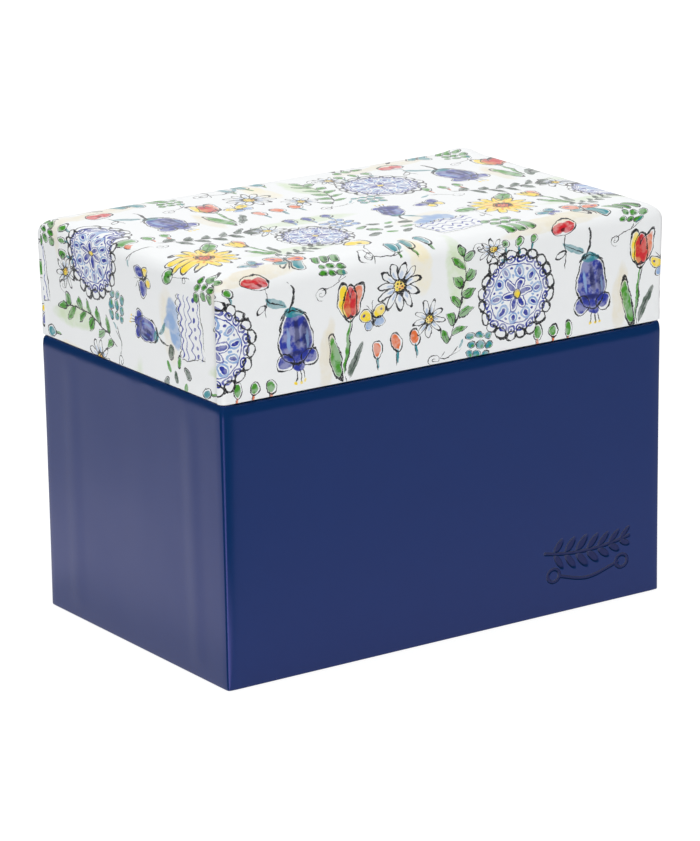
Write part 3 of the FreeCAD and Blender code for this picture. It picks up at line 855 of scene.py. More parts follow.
@block
def draw_sunflower(brush, hues, place):
    """A broad yellow blossom with a leaf."""
    brush.wash(place, 9.0, 7.8, 5.2, 2.1, hues.leaf, 38)
    brush.outline(place, 9.2, 8.0, 5.6, 2.4, 0.15, 38)
    brush.stroke(place, 9.0, 7.8, 4.8, 0.15, 38)
    petal = place.fan(13)
    brush.wash(petal, 6.0, 0, 4.3, 1.75, hues.yellow)
    brush.wash(petal, 4.6, 0.3, 2.0, 0.5, hues.orange, 0, 0.7, 0.5)
    brush.outline(petal, 6.4, 0, 4.4, 1.5, 0.13)
    brush.wash(place, 0, 0, 3.0, 3.0, hues.orange)
    brush.wash(place, 0.5, -0.7, 1.9, 1.8, hues.red, 0, 0.5, 0.6)
    brush.outline(place, 0, 0, 3.1, 3.1, 0.18)
    brush.stroke(place.fan(9), 1.9, 0, 0.34, 0.3)
    brush.stroke(place.fan(4, 10), 0.8, 0, 0.28, 0.28)


@block
def draw_sprig(brush, hues, place, green=None, pairs=2):
    """A stem with pairs of leaves."""
    green = green or hues.leaf
    place = place.bent(0.012)
    for way in (1, -1):
        leaves = place.row(6.4, pairs, 1.6 * way)
        brush.wash(leaves, 1.5, 2.5 * way, 3.0, 1.25, green, 48 * way)
        brush.outline(leaves, 1.6, 2.6 * way, 3.2, 1.4, 0.12, 48 * way)
        brush.stroke(leaves, 1.3, 2.2 * way, 2.3, 0.13, 48 * way)
    brush.stroke(place, 0, 0, 6.4 * pairs + 5.0, 0.26)
    brush.wash(place, 6.4 * pairs + 5.6, 0, 2.6, 1.2, green)
    brush.outline(place, 6.4 * pairs + 5.8, 0, 2.8, 1.3, 0.12)


@block
def draw_butterfly(brush, hues, place, upper=None, lower=None):
    """A small butterfly."""
    side = place.mirrored()
    brush.wash(side, 3.4, 2.0, 3.1, 2.2, upper or hues.orange, 32)
    brush.wash(side, 2.5, -2.2, 2.0, 1.7, lower or hues.teal, -30)
    brush.wash(side, 4.1, 2.5, 0.7, 0.6, hues.cobalt)
    brush.outline(side, 3.5, 2.1, 3.4, 2.5, 0.16, 32)
    brush.outline(side, 2.6, -2.3, 2.3, 2.0, 0.15, -30)
    brush.stroke(side, 0, -0.2, 0.42, 3.6)
    brush.stroke(side, 1.1, 4.6, 0.13, 2.0, -28)


@block
def draw_buds(brush, hues, place, bloom, stalk):
    """A short row of small buds on stalks."""
    place = place.row(6.6, 1)
    brush.wash(place, 0, 1.9, 1.5, 2.2, bloom)
    brush.wash(place, 0.1, -2.0, 0.5, 1.9, stalk)
    brush.outline(place, 0.2, 1.8, 1.9, 2.6, 0.15)
    brush.stroke(place, -0.4, -2.2, 0.16, 2.0, 4)


@block
def draw_berries(brush, hues, place, fruit, shade):
    """Three rows of brushed berries with a dark side."""
    for level, shift in ((4.1, 0.6), (0.0, -0.5), (-4.0, 0.4)):
        row = place.row(4.3, 1, shift)
        brush.wash(row, 0, level, 1.75, 1.5, fruit, 8)
        brush.wash(row, 0.7, level - 0.5, 0.9, 0.8, shade, 0, 0.9, 0.5)
        brush.outline(row, 0.1, level, 1.95, 1.65, 0.13, 8)


@block
def draw_leaf_fall(brush, hues, place):
    """Loose small leaves in two greens."""
    for i, (dx, dy, turn) in enumerate(((-7, 5, 20), (-1.5, 6.4, -14), (4.4, 5.2, 30), (9.4, 3.4, -20),
                                        (-4.2, 0.4, -34), (1.6, 0.8, 16), (7.0, -1.4, -8),
                                        (-7.8, -4.6, 12), (-1.4, -5.0, -24), (4.0, -6.2, 24))):
        brush.wash(place, dx, dy, 2.2, 1.15, (hues.leaf, hues.pine)[i % 2], turn)
        if i % 3 != 2:
            brush.outline(place, dx, dy, 2.4, 1.3, 0.14, turn)


@block
def draw_waves(brush, hues, place):
    """Rows of brushed waves under a pale blue wash."""
    brush.wash(place, -3, 8.4, 6.6, 3.4, hues.powder, 12, 1.0, 0.3)
    brush.wash(place, 4.4, 9.4, 4.6, 4.4, hues.powder, -20, 0.9, 0.3)
    brush.wash(place, 0.4, 11.2, 3.0, 3.8, hues.powder, 0, 0.9, 0.3)
    across, up = place.parts()
    inside = abs(across).fade(10.6, 11.2)
    curl = (across * 1.45).math("SINE", across * 1.45)
    for level, rise, width, pigment in ((4.2, 0.7, 0.42, hues.cobalt), (1.4, 0.45, 0.24, hues.cobalt),
                                        (-1.9, 0.9, 0.36, hues.cobalt), (-7.6, 0.3, 0.2, hues.cobalt)):
        brush.lay((up - curl * rise).near(level, width) * inside, pigment)
    brush.add_ink((abs(up - abs(curl) * 1.1 - 5.0) * 5.0 < brush.pressure) * inside)
    dots = place.row(3.2, 3)
    brush.wash(dots, 0, -5.0, 0.85, 0.85, hues.cobalt)
    brush.stroke(place, 0.8, -9.0, 9.6, 0.16, 2)
    brush.stroke(place, -10.9, -1.2, 0.18, 7.0, 4)


@block
def draw_tendril(brush, hues, place):
    """A thin curl of ink."""
    px, py = place.parts()
    out = px.math("SQRT", px * px + py * py)
    angle = px.math("ARCTAN2", py, px)
    pitch = 1.9
    coil = (out - angle * (pitch / math.tau)).wrap(pitch / 2)
    brush.add_ink((abs(coil) * 7.0 < brush.pressure) * (out < 1.6 * pitch))
    tail = place.moved(7.2, -2.2, -14).bent(0.03)
    brush.stroke(tail, 0, 0, 6.0, 0.2)
    brush.wash(tail, 6.6, 1.9, 2.1, 0.8, hues.teal, 26, 0.8)
    brush.stroke(tail, 2.6, 0.9, 1.9, 0.2, 34)


@block
def draw_poppy(brush, hues, place, bloom=None):
    """A poppy on a thin stalk, red unless another pigment is named."""
    brush.wash(place, -1.6, 3.6, 3.2, 2.7, bloom or hues.red, 10)
    brush.wash(place, 1.9, 3.3, 2.7, 2.6, bloom or hues.red, -14)
    brush.wash(place, 0.2, 2.4, 1.1, 1.0, hues.ink, 0, 0.8, 0.4)
    brush.outline(place, 0.1, 3.6, 4.9, 3.6, 0.17)
    brush.stroke(place, 0.3, -5.6, 0.2, 5.2, -3)
    brush.outline(place, -1.7, -7.6, 2.2, 0.9, 0.12, 28)


def printed_leatherette():
    """Glossy white leatherette with an all-over ink-and-wash print of flowers and leaves."""
    hues = settings()[1]
    material, graph = new_material("printed_leatherette")
    sheet = PrintSheet(graph, hues)
    draw_backwash(sheet, hues)
    draw_rosette(sheet, 27, 21, 9)
    draw_rosette(sheet, 87, 71, -14, 0.84)
    draw_bellflower(sheet, 58, 20, 5, 0.98)
    draw_bellflower(sheet, 8, 84, 168, 0.66)
    draw_tulip(sheet, 78, 19, -6, 1.1)
    draw_tulip(sheet, 62, 70, 14, 0.78, "yellow")
    draw_sunflower(sheet, 43, 69, 12, 1.05)
    draw_waves(sheet, 14, 59, 5, 0.95)
    draw_daisy(sheet, 98, 31, 8, 1.1)
    draw_daisy(sheet, 110, 18, 30, 0.8, 9)
    draw_sprig(sheet, 5, 22, 76, 0.95)
    draw_sprig(sheet, 58, 89, -9, 0.95, "pine")
    draw_leaf_fall(sheet, 112, 66)
    draw_berries(sheet, 30, 50, 6, 0.95, "leaf", "pine")
    draw_berries(sheet, 74, 44, -8, 0.8, "leaf", "pine")
    draw_butterfly(sheet, 62, 50, -18)
    draw_butterfly(sheet, 25, 85, 24, 0.85, "cobalt", "yellow")
    draw_buds(sheet, 97, 10, 4, 1.15, "orange", "teal")
    draw_buds(sheet, 42, 4.5, -4, 0.95, "leaf", "orange")
    draw_buds(sheet, 98, 90, -6, 1.05, "cobalt", "powder")
    draw_buds(sheet, 106, 46, 5, 1.0, "teal", "leaf")
    draw_poppy(sheet, 46, 39, 6, 1.0)
    draw_tendril(sheet, 88, 45, 10)
    draw_tendril(sheet, 12, 40, -30, 0.85)
    draw_tendril(sheet, 40, 90, 160, 0.8)
    draw_daisy(sheet, 17, 38, 15, 0.72, 9)
    draw_daisy(sheet, 78, 86, -10, 0.85, 9)
    draw_poppy(sheet, 92, 52, -12, 0.9, "yellow")
    draw_poppy(sheet, 30, 68, 14, 0.8, "leaf")
    draw_berries(sheet, 103, 80, 12, 0.85, "powder", "cobalt")
    draw_berries(sheet, 12, 6, -6, 0.8, "teal", "leaf")
    draw_butterfly(sheet, 88, 22, 14, 0.8, "yellow", "powder")
    draw_butterfly(sheet, 50, 52, 30, 0.7, "teal", "cobalt")
    draw_sprig(sheet, 72, 57, 14, 0.62, "pine")
    draw_buds(sheet, 28, 38, 0, 0.85, "leaf", "teal")
    draw_tendril(sheet, 68, 33, 40, 0.8)
    draw_tendril(sheet, 112, 4, 20, 0.8)
    body = sheet.finished(hues.ink)
    sheen = graph.noise(sheet.flat, size=18.0, kind="2D")
    place = graph.place()
    peel = graph.noise(place, size=1.1) * 0.5 + graph.noise(place, size=0.22, detail=1.0) * 0.2
    graph.surface(Base_Color=body, Roughness=sheen * 0.08 + 0.26,
                  Normal=graph.bump(peel, depth=0.012, strength=0.5), IOR=1.5)
    return material


def plain_material(name, base, grain, depth, fleck, rough, flecked=None):
    """Paper, card or board: flecked colour and a fine fibrous surface."""
    material, graph = new_material(name)
    where = graph.place()
    cloud = graph.noise(where, size=22.0)
    combed = graph.vector("MULTIPLY", where, (1.0, 0.6, 0.35))
    fibres = graph.noise(combed, size=grain, detail=3.0, rough=0.65)
    shade = graph.mix(cloud * fleck * 2, base, tone(base, 0.9))
    shade = graph.mix(fibres.fade(0.56, 0.72, 0.0, 1.0) * min(1.0, fleck * 5), shade,
                      flecked or tone(base, 0.82))
    graph.surface(Base_Color=shade, Roughness=fibres * 0.12 + (rough - 0.06),
                  Normal=graph.bump(fibres, depth, strength=0.6))
    return material


def foam_material():
    """Open-cell foam sheet, with painted shade in its pores."""
    colours = settings()[1]
    material, graph = new_material("foam")
    where = graph.place()
    pores = graph.cells(where, size=0.7).fade(0.05, 0.55)
    # Painted shade: the open cells are painted darker, to 0.62 of the foam's colour.
    shade = graph.mix(pores * 0.45, colours.foam, tone(colours.foam, 0.62))
    graph.surface(Base_Color=shade, Roughness=graph.noise(where, size=3.0) * 0.1 + 0.85,
                  Normal=graph.bump(1.0 - pores, depth=0.25, strength=0.7))
    return material


def up_the_sheet(graph, where, foot):
    """How far up a leaning sheet a place is from the sheet's foot, in millimetres."""
    lean = settings()[0].section_lean
    _, y, z = graph.parts(where)
    return (y - foot[1] / MM) * math.sin(lean) + (z - foot[2] / MM) * math.cos(lean)


def card_material(number, foot):
    """Smooth card, ruled across with a head line near the top."""
    colours = settings()[1]
    first_rule, rule_pitch, last_rule, head_line = 3.2, 6.36, 82.0, 87.0
    material, graph = new_material(f"index_card_{number}")
    where = graph.place()
    up = up_the_sheet(graph, where, foot)
    fibres = graph.noise(where, size=0.4, detail=3.0, rough=0.65)
    ruled = (up - first_rule).wrap(rule_pitch / 2).near(0.0, 0.16) * (up < last_rule)
    shade = graph.mix(fibres * 0.12, colours.card, tone(colours.card, 0.9))
    shade = graph.mix(ruled * 0.8, shade, colours.card_rule)
    shade = graph.mix(up.near(head_line, 0.24) * 0.85, shade, colours.card_head)
    graph.surface(Base_Color=shade, Roughness=fibres * 0.1 + 0.5,
                  Normal=graph.bump(fibres, depth=0.01, strength=0.5))
    return material


def divider_material(number, foot):
    """Buff card with a thin rule below the tab."""
    colours = settings()[1]
    tab_rule = 106.6
    material, graph = new_material(f"divider_card_{number}")
    where = graph.place()
    up = up_the_sheet(graph, where, foot)
    cloud = graph.noise(where, size=16.0)
    fibres = graph.noise(where, size=0.6, detail=3.0, rough=0.65)
    shade = graph.mix(cloud * 0.2, colours.divider, tone(colours.divider, 0.92))
    shade = graph.mix(fibres.fade(0.58, 0.74, 0.0, 0.35), shade, tone(colours.divider, 0.75))
    shade = graph.mix(up.near(tab_rule, 0.25) * 0.7, shade, colours.cobalt)
    graph.surface(Base_Color=shade, Roughness=fibres * 0.1 + 0.55,
                  Normal=graph.bump(fibres, depth=0.015, strength=0.5))
    return material


def dress(node, material):
    """Gives a CAD node its material."""
    piece = frame["nodes"][node]
    if not piece.material_slots:
        piece.data.materials.append(material)
    for slot in piece.material_slots:
        slot.material = material


def dress_all(ending, material):
    """Gives one material to every CAD node whose name has this ending."""
    for node in frame["nodes"]:
        if node.endswith(ending):
            dress(node, material)


# ---------------------------------------------------------------- pieces


def base_swells(walls, points, sizes):
    """How far out the base covering stands from its even shape, in millimetres, per station."""
    low, high = BASE_LOW.z / MM, BASE_HIGH.z / MM
    share = (points[0, 2] - low) / (high - low)
    y = points[:, 1]
    on_left = walls.out[:, 0] < -0.9
    tall = smooth_step(0.01, 0.10, share) * (1 - smooth_step(0.88, 0.98, share))
    drift = 1.6 * (share - 0.5)
    folds = 1.5 * hump(y, -36.8 + drift, 6.4) + 1.2 * hump(y, 37.4, 6.6) - 0.5 * hump(y, 8.0, 16.0)
    swells = rumple(points, size=34.0, seed=3.7) + 0.4 * rumple(points, size=11.0, seed=9.1)
    swollen = tall * (np.where(on_left, folds, 0.0) + swells * np.where(on_left, 0.7, 0.25))
    flared = 1.25 * share ** 2 - 0.25
    return walls.ahead * (sizes.swell * swollen + sizes.base_flare * flared) / MM


def rim_sag(walls, points, sizes):
    """How far the base's rim lies below its full height, in millimetres, per station."""
    front = smooth_step(0.75, 0.98, -walls.out[:, 1])
    reach = walls.half[0]
    ends = smooth_step(-reach + 1.0, -reach + 7.0, points[:, 0]) \
        * (1 - smooth_step(reach - 3.4, reach - 2.2, points[:, 0]))
    return sizes.rim_sag / MM * front * ends


def rim_band(sizes):
    """How far the band below the base's rim leans in, its upper end, and the inset of the rim's top."""
    rim, band, lean = sizes.rim_radius / MM, sizes.rim_band / MM, sizes.rim_lean
    sunk = math.tan(lean) * band / 2
    return sunk, BASE_HIGH.z / MM - rim + rim * math.sin(lean), sunk + rim * math.cos(lean)


def base_section(sizes):
    """The base covering's section as (inset, z), from its rim down, under, up inside and back."""
    top, bottom = BASE_HIGH.z / MM, BASE_LOW.z / MM
    skin, wall, rim = sizes.skin / MM, sizes.base_wall / MM, sizes.rim_radius / MM
    flange, turn_in = sizes.flange / MM, LINING_HIGH.z / MM
    _, spring, middle = rim_band(sizes)
    band_foot, foot = spring - sizes.rim_band / MM - 1.0, bottom + 8
    fold, crease = BASE_FOLD, bottom - BASE_BEAD
    section = arc(middle, top - rim, rim, 90, 180 - math.degrees(sizes.rim_lean), 8)
    section += line((0, spring), (0, band_foot), 0.5)
    section += line((0, band_foot), (0, foot), 3.2)
    section += line((0, foot), (0, crease + fold), 1.6)
    section += arc(fold, crease + fold, fold, 180, 270, 5)
    section += [(1.6, crease), (2.6, bottom)]
    section += line((2.6, bottom), (flange, bottom), 3.0)
    section += [(flange, bottom), (flange, bottom + skin)]
    section += line((flange, bottom + skin), (skin, bottom + skin), 3.0)
    section += [(skin, bottom + skin)]
    section += line((skin, bottom + skin), (skin, top - rim), 6.0)
    section += [(skin, top - rim - 0.4), (skin + 0.4, top - skin), (wall - skin - 0.4, top - skin)]
    section += line((wall - skin, top - rim - 0.4), (wall - skin, turn_in), 6.0)
    section += [(wall - skin, turn_in), (wall, turn_in)]
    section += line((wall, turn_in), (wall, top - rim), 4.0)
    section += arc(wall - rim, top - rim, rim, 0, 90, 7)
    section += line((wall - rim, top), (middle, top), 0.9)
    return section


def build_base_cover():
    """The base's navy skin, rolled over the rim, turned in and folded under."""
    sizes = settings()[0]
    top, bottom = BASE_HIGH.z / MM, BASE_LOW.z / MM
    wall, corner, band = sizes.base_wall / MM, sizes.base_corner / MM, sizes.rim_band / MM
    half = (BASE_HIGH.x / MM, BASE_HIGH.y / MM)
    sunk, spring, middle = rim_band(sizes)
    section = base_section(sizes)
    walls = Walls(half, [close_ended(2 * h - 2 * corner, 1.5) for h in half], 10)
    wander = rumple(walls.level(0.0, corner, 0.0), size=8.0, seed=21.0)
    unevenness = np.where(walls.out[:, 0] < -0.9, 0.42, 0.14)
    outside = next(i for i, (_, z) in enumerate(section) if z < bottom)
    levels = []
    for i, (inset, z) in enumerate(section):
        share = (z - bottom) / (top - bottom)
        on_rim = inset > middle and z > top - sizes.rim_radius / MM - 0.01
        on_skin = i < outside or on_rim or inset < BASE_FOLD + 0.01
        if on_skin:
            tilt = sizes.shoulder_turn * (0.6 + 0.4 * share) * (1 - float(smooth_step(1.2, wall, inset)))
            shoulder = sizes.shoulder / MM * (0.65 + 0.35 * share)
            radius = max(corner - 0.3 * inset, 0.4)
            points = walls.level(inset, radius, z, turned=(tilt, tilt * 0.45), reach=(shoulder, 2.6))
            points[:, :2] += walls.out * base_swells(walls, points, sizes)[:, None]
        else:
            points = walls.level(inset, max(corner - inset, 0.35), z)
        if inset < 0.01 and i < outside:
            reach = band * (1 + wander * unevenness)
            lean_in = sunk * np.clip(1 - (spring - z) / reach, 0, 1) ** 2
            points[:, :2] -= walls.out * lean_in[:, None]
        points[:, 2] -= rim_sag(walls, points, sizes) * smooth_step(top - 12.0, top - 1.0, z)
        levels.append(points)
    count, rings = walls.count, len(levels)
    faces = strips(walls, rings)
    last = (rings - 1) * count
    faces += [(a + last, a, (a + 1) % count, (a + 1) % count + last) for a in range(count)]
    piece = new_piece("base_covering", np.concatenate(levels) * MM, faces)
    piece.data.materials.append(navy_leatherette())
    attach(piece, "base")
    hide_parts("base_cover")


def lid_corner(sizes, z, inset):
    """Radius of the lid's corners in plan, at a height and an inset of its outside."""
    low, high, soft = (getattr(sizes, "lid_corner_" + w) / MM for w in ("low", "high", "top"))
    bottom, spring = LID_LOW.z / MM, (LID_HIGH.z - sizes.lid_edge_drop) / MM
    upright = low + (high - low) * float(smooth_step(bottom, spring, z))
    return upright + (soft - high) * float(smooth_step(0.0, 3.2, inset))


def lid_levels(sizes):
    """The lid covering's section, from its top down outside and up inside.

    Each level is its inset, its height, its corner radius and whether it is outside.
    """
    top, bottom = LID_HIGH.z / MM, LID_LOW.z / MM
    skin, wall, rim = sizes.skin / MM, sizes.lid_wall / MM, sizes.lid_rim / MM
    drop, run = sizes.lid_edge_drop / MM, sizes.lid_edge_run / MM
    waist = sizes.lid_waist / MM
    turn_in = LID_LINING_LOW.z / MM
    turns = [math.radians(90 * i / 14) for i in range(15)]
    outer = [(run * (1 - math.sin(a) ** PLUMP), top - drop * (1 - math.cos(a) ** PLUMP)) for a in turns]
    outer[-1] = (0, top - drop)
    outer += line((0, top - drop), (0, bottom + rim), 1.9)
    outer += arc(rim, bottom + rim, rim, 180, 270, 5)
    levels = []
    for inset, z in outer:
        share = (z - bottom) / (top - drop - bottom)
        pull = waist * float(smooth_step(0.03, 0.2, share) * (1 - smooth_step(0.35, 1.0, share)))
        levels.append((inset + pull * (inset < 0.02), z, lid_corner(sizes, z, inset), True))
    edge = 0.4
    inside = line((rim, bottom), (wall - edge, bottom), 1.2)
    inside += arc(wall - edge, bottom + edge, edge, 270, 360, 4)
    inside += line((wall, bottom + edge), (wall, turn_in), 3.5)
    inside += [(wall, turn_in), (wall - skin, turn_in)]
    inside += line((wall - skin, turn_in), (wall - skin, bottom + skin), 4.0)
    inside += [(wall - skin, bottom + skin), (skin, bottom + skin)]
    inside += line((skin, bottom + skin), (skin, top - drop), 6.0)
    levels += [(inset, z, max(lid_corner(sizes, z, 0.0) - inset, 0.5), False) for inset, z in inside]
    for a in turns[::-2]:
        inset = (run - skin) * (1 - math.sin(a) ** PLUMP)
        rise = (drop - skin) * max(0.0, math.cos(a)) ** PLUMP
        levels.append((skin + inset, top - drop + rise, lid_corner(sizes, top, inset) - skin, False))
    return levels


def corner_peak(sizes, x, y, z):
    """How far the covering's folded right back corner stands up, in millimetres."""
    inset, top = sizes.lid_edge_run, LID_HIGH.z / MM
    out = np.hypot(x - (LID_HIGH.x - inset) / MM, y - (LID_HIGH.y - inset) / MM)
    return sizes.lid_peak / MM * hump(out, 0.0, 9.0) * smooth_step(top - 4.0, top - 0.5, z)


def lid_swells(walls, points, sizes, sunk):
    """How far out the lid covering stands from its even shape, in millimetres, per station."""
    top, bottom = LID_HIGH.z / MM, LID_LOW.z / MM
    z = points[0, 2]
    swell = rumple(points, size=26.0, seed=5.0) * 0.1 + rumple(points, size=9.0, seed=12.0) * 0.03
    share = min(1.0, (z - bottom) / (top - bottom - sizes.lid_edge_drop / MM))
    flare = sizes.lid_flare / MM * (0.4 + 0.6 * share)
    dent = 0.35 * hump(points[:, 1], -49.6, 3.6) * hump(z, top - 7.5, 5.0) * (walls.side == 3)
    return walls.ahead * (swell + flare) - sunk * smooth_step(top - 1.0, top - 7.0, z) - dent


def build_lid_cover():
    """The lid's printed skin, drawn over the padding, down the sides and in under the rim."""
    sizes = settings()[0]
    half = (LID_HIGH.x / MM, LID_HIGH.y / MM)
    seam, corner = sizes.seam_offset / MM, sizes.lid_corner_high / MM
    run, crown = sizes.lid_edge_run / MM, sizes.lid_crown / MM
    deep = 2 * (half[1] - corner)
    shares = (even_shares(2 * (half[0] - corner), 3.0), seamed_shares(deep, seam, 3.0))
    walls = Walls(half, shares, 10)
    share = walls.share[:, 0]
    edge = (seam + SEAM_RAMP / 2) / deep
    on_flap = walls.straight & (walls.side % 2 == 1) & (share > edge) & (share < 1 - edge)
    sunk = np.where(on_flap, sizes.seam_step / MM, 0.0)
    bottom = LID_LOW.z / MM
    levels = lid_levels(sizes)
    rings = []
    for inset, z, radius, outside in levels:
        points = walls.level(inset, radius, z)
        if outside:
            points[:, :2] += walls.out * lid_swells(walls, points, sizes, sunk)[:, None]
        to_back, to_rim = smooth_step(0.2, 0.95, walls.out[:, 1]), 1 - smooth_step(bottom, bottom + 4.0, z)
        points[:, 2] -= 0.06 * (to_back * to_rim)
        rings.append(points)

    def raised(x, y, z):
        """The height of the padded top, with its crown and faint dimples."""
        dome = max((1 - (x / (half[0] - run)) ** 2) * (1 - (y / (half[1] - run)) ** 2), 0.0)
        dimple = noise.noise(Vector((x, y, 0)) / 38.0) * 0.12 * min(1.0, dome * 3)
        return z + crown * dome ** 0.7 + dimple

    points, faces = capped(walls, rings, raised)
    sheet = sheet_places(walls, levels, rings, points, faces, on_flap, run)
    shape = np.array(points)
    shape[:, 2] += corner_peak(sizes, *shape.T)
    piece = new_piece("lid_covering", shape * MM, faces, sheet)
    piece.data.materials.append(printed_leatherette())
    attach(piece, "lid")
    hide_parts("lid_cover")


def sheet_places(walls, levels, rings, points, faces, on_flap, run):
    """The flat sheet's place, in units of its map, for each corner of each face.

    The sheet lies flat on the top and folds down on all four sides. The front and back flaps
    go round the corners and end at the seams, where the side flaps begin.
    """
    count, half = walls.count, walls.half
    down, total = [0.0], 0.0
    for (inset, z, *_), (next_inset, next_z, *_) in zip(levels, levels[1:]):
        total += math.hypot(next_inset - inset, next_z - z)
        down.append(total)
    edge = math.pi / 2 * run
    reach_x, reach_y = half[0] - run, half[1] - run
    wrapped = {}
    for k, (ring, (inset, _, radius, _)) in enumerate(zip(rings, levels)):
        share = float(smooth_step(0.0, edge, down[k]))
        for s in range(count):
            nx, ny = walls.out[s]
            x, y, _ = ring[s]
            if walls.side[s] % 2 == 0 and walls.straight[s]:
                along = x
            else:
                if walls.straight[s]:
                    turned = math.pi / 2
                    gone = abs(abs(y) - (half[1] - inset - radius))
                else:
                    turned, gone = abs(math.atan2(nx, abs(ny))), 0.0
                along = (1.0 if x > 0 else -1.0) * (half[0] - inset - radius + radius * turned + gone)
            flat = Vector(rings[0][s][:2])
            wrap = Vector((along, (1.0 if y > 0 else -1.0) * (reach_y + down[k])))
            flap = Vector((math.copysign(reach_x + down[k], x), y))
            wrapped[k, s] = (flat.lerp(wrap, share), flat.lerp(flap, share))
    sheet = []
    for face in faces:
        ring_face = all(v < len(rings) * count for v in face) and len({v // count for v in face}) > 1
        stations = [v % count for v in face]
        side_flap = ring_face and all(on_flap[s] for s in stations)
        for v, s in zip(face, stations):
            place = wrapped[v // count, s][side_flap] if ring_face else points[v]
            sheet.append((place[0] / SHEET_UNIT, place[1] / SHEET_UNIT))
    return sheet


def build_pad():
    """The foam pad between the lid's top board and its covering."""
    sizes = settings()[0]
    top, bottom = PAD_HIGH.z / MM, PAD_LOW.z / MM
    half = (LID_HIGH.x / MM, LID_HIGH.y / MM)
    skin, corner = sizes.skin / MM, sizes.lid_corner_high / MM
    spring = (LID_HIGH.z - sizes.lid_edge_drop) / MM
    reach = sizes.lid_edge_run / MM - skin
    clearance, bevel = 0.2, 0.3
    walls = Walls(half, [even_shares(2 * (h - corner), 4.0) for h in half], 8)
    section = []
    for z in top - (top - bottom) * (1 - np.cos(np.linspace(0.25, math.pi / 2, 9))):
        rise = min(1.0, (z - spring) / (top - spring))
        section.append((skin + clearance + reach * (1 - math.sqrt(1 - rise ** 2)), z))
    section.append((section[-1][0] + bevel, bottom))
    section[-2] = (section[-2][0], bottom + bevel)
    rings = [walls.level(inset, lid_corner(sizes, z, inset - skin) - skin, z) for inset, z in section]
    for ring in rings[:5]:
        ring[:, 2] -= 0.08 * (1 + rumple(ring, size=15.0, seed=2.0))
    points, faces = capped(walls, rings)
    piece = new_piece("lid_padding", np.array(points) * MM, faces)
    piece.data.materials.append(foam_material())
    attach(piece, "lid")
    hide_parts("lid_foam_pad")


def build_hinge_strip():
    """One strip of leatherette glued down the back, with its fold between base and lid."""
    half = LEAF_HIGH.x / MM
    low, high = LEAF_LOW.z / MM, LID_LEAF_HIGH.z / MM
    front, back = LEAF_LOW.y / MM, LEAF_HIGH.y / MM
    fold = (LEAF_HIGH.z + LID_LEAF_LOW.z) / 2 / MM
    corner, bevel, bevel_width, crease_depth = 3.0, 0.18, 0.5, 0.16
    rounding = corner * (1 - np.cos(np.linspace(0, math.pi / 2, 6)))
    rows = sorted(set(np.round(np.concatenate([
        low + rounding, high - rounding,
        np.linspace(low + corner, fold - 2.0, 7), np.linspace(fold - 2.0, fold + 2.0, 17),
        np.linspace(fold + 2.0, high - corner, 5)]), 4)))
    columns = np.linspace(-1, 1, 70)
    outer, inner = [], []
    for z in rows:
        to_end = min(z - low, high - z)
        short = max(0.0, corner - to_end)
        width = half - corner + math.sqrt(max(0.0, corner ** 2 - short ** 2))
        crease = crease_depth * float(hump(z, fold, 0.9))
        for x in columns * width:
            edge = min(to_end, half - abs(x))
            soft = bevel * (1 - min(1.0, max(0.0, edge) / bevel_width)) ** 2
            outer.append((x, back - soft - crease, z))
            inner.append((x, front, z))
    wide, tall, behind = len(columns), len(rows), len(outer)
    faces = []
    for j in range(tall - 1):
        for i in range(wide - 1):
            a = j * wide + i
            faces.append((a + 1, a, a + wide, a + wide + 1))
            faces.append((behind + a, behind + a + 1, behind + a + wide + 1, behind + a + wide))
    border = [*range(wide), *(j * wide + wide - 1 for j in range(1, tall))]
    border += [(tall - 1) * wide + i for i in range(wide - 2, -1, -1)]
    border += [j * wide for j in range(tall - 2, 0, -1)]
    for a, b in zip(border, border[1:] + border[:1]):
        faces.append((a, b, behind + b, behind + a))
    piece = new_piece("hinge_strip", np.array(outer + inner) * MM, faces)
    piece.data.materials.append(navy_leatherette())
    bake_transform(piece)
    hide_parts("hinge_base_leaf", "hinge_lid_leaf")


def dress_walls():
    """Finishes the boards inside the walls, the linings and the underside."""
    colours = settings()[1]
    dress_all("_board", plain_material("greyboard", colours.board, grain=0.9, depth=0.05, fleck=0.12,
                                       rough=0.85, flecked=srgb(120, 112, 100)))
    dress_all("_lining", plain_material("lining_paper", colours.lining, grain=0.35, depth=0.012,
                                        fleck=0.05, rough=0.7))
    dress("underside_panel", plain_material("underside_card", colours.underside, grain=0.5, depth=0.03,
                                            fleck=0.1, rough=0.8, flecked=srgb(74, 74, 80)))


def dress_sections():
    """Finishes each divider and the cards that stand before it."""
    joints = {joint["name"]: joint for joint in frame["joints"]}
    for number in range(1, SECTIONS + 1):
        foot = joints[f"section_{number}_tilt"]["pos_m"]
        dress(f"divider_{number}", divider_material(number, foot))
        dress(f"cards_{number}", card_material(number, foot))


# ---------------------------------------------------------------- studio


def sight(studio, sense=-1):
    """The camera's direction, or with sense 1 the way it goes on after a level mirror."""
    return Vector((math.sin(studio.yaw) * math.cos(studio.pitch),
                   math.cos(studio.yaw) * math.cos(studio.pitch), sense * math.sin(studio.pitch)))


def build_camera():
    """The camera at its place, turned, tilted and rolled."""
    studio = settings()[2]
    data = bpy.data.cameras.new("camera")
    data.sensor_width, data.lens = 36.0, studio.lens
    data.clip_start, data.clip_end = 0.05, 100.0
    camera = bpy.data.objects.new("camera", data)
    bpy.context.scene.collection.objects.link(camera)
    look = sight(studio)
    right = Vector((math.cos(studio.yaw), -math.sin(studio.yaw), 0.0))
    up = right.cross(look)
    turn = studio.roll
    right, up = (math.cos(turn) * right + math.sin(turn) * up,
                 math.cos(turn) * up - math.sin(turn) * right)
    axes = Matrix((right, up, -look)).transposed().to_4x4()
    camera.matrix_world = Matrix.Translation(studio.camera_place) @ axes
    bpy.context.scene.camera = camera


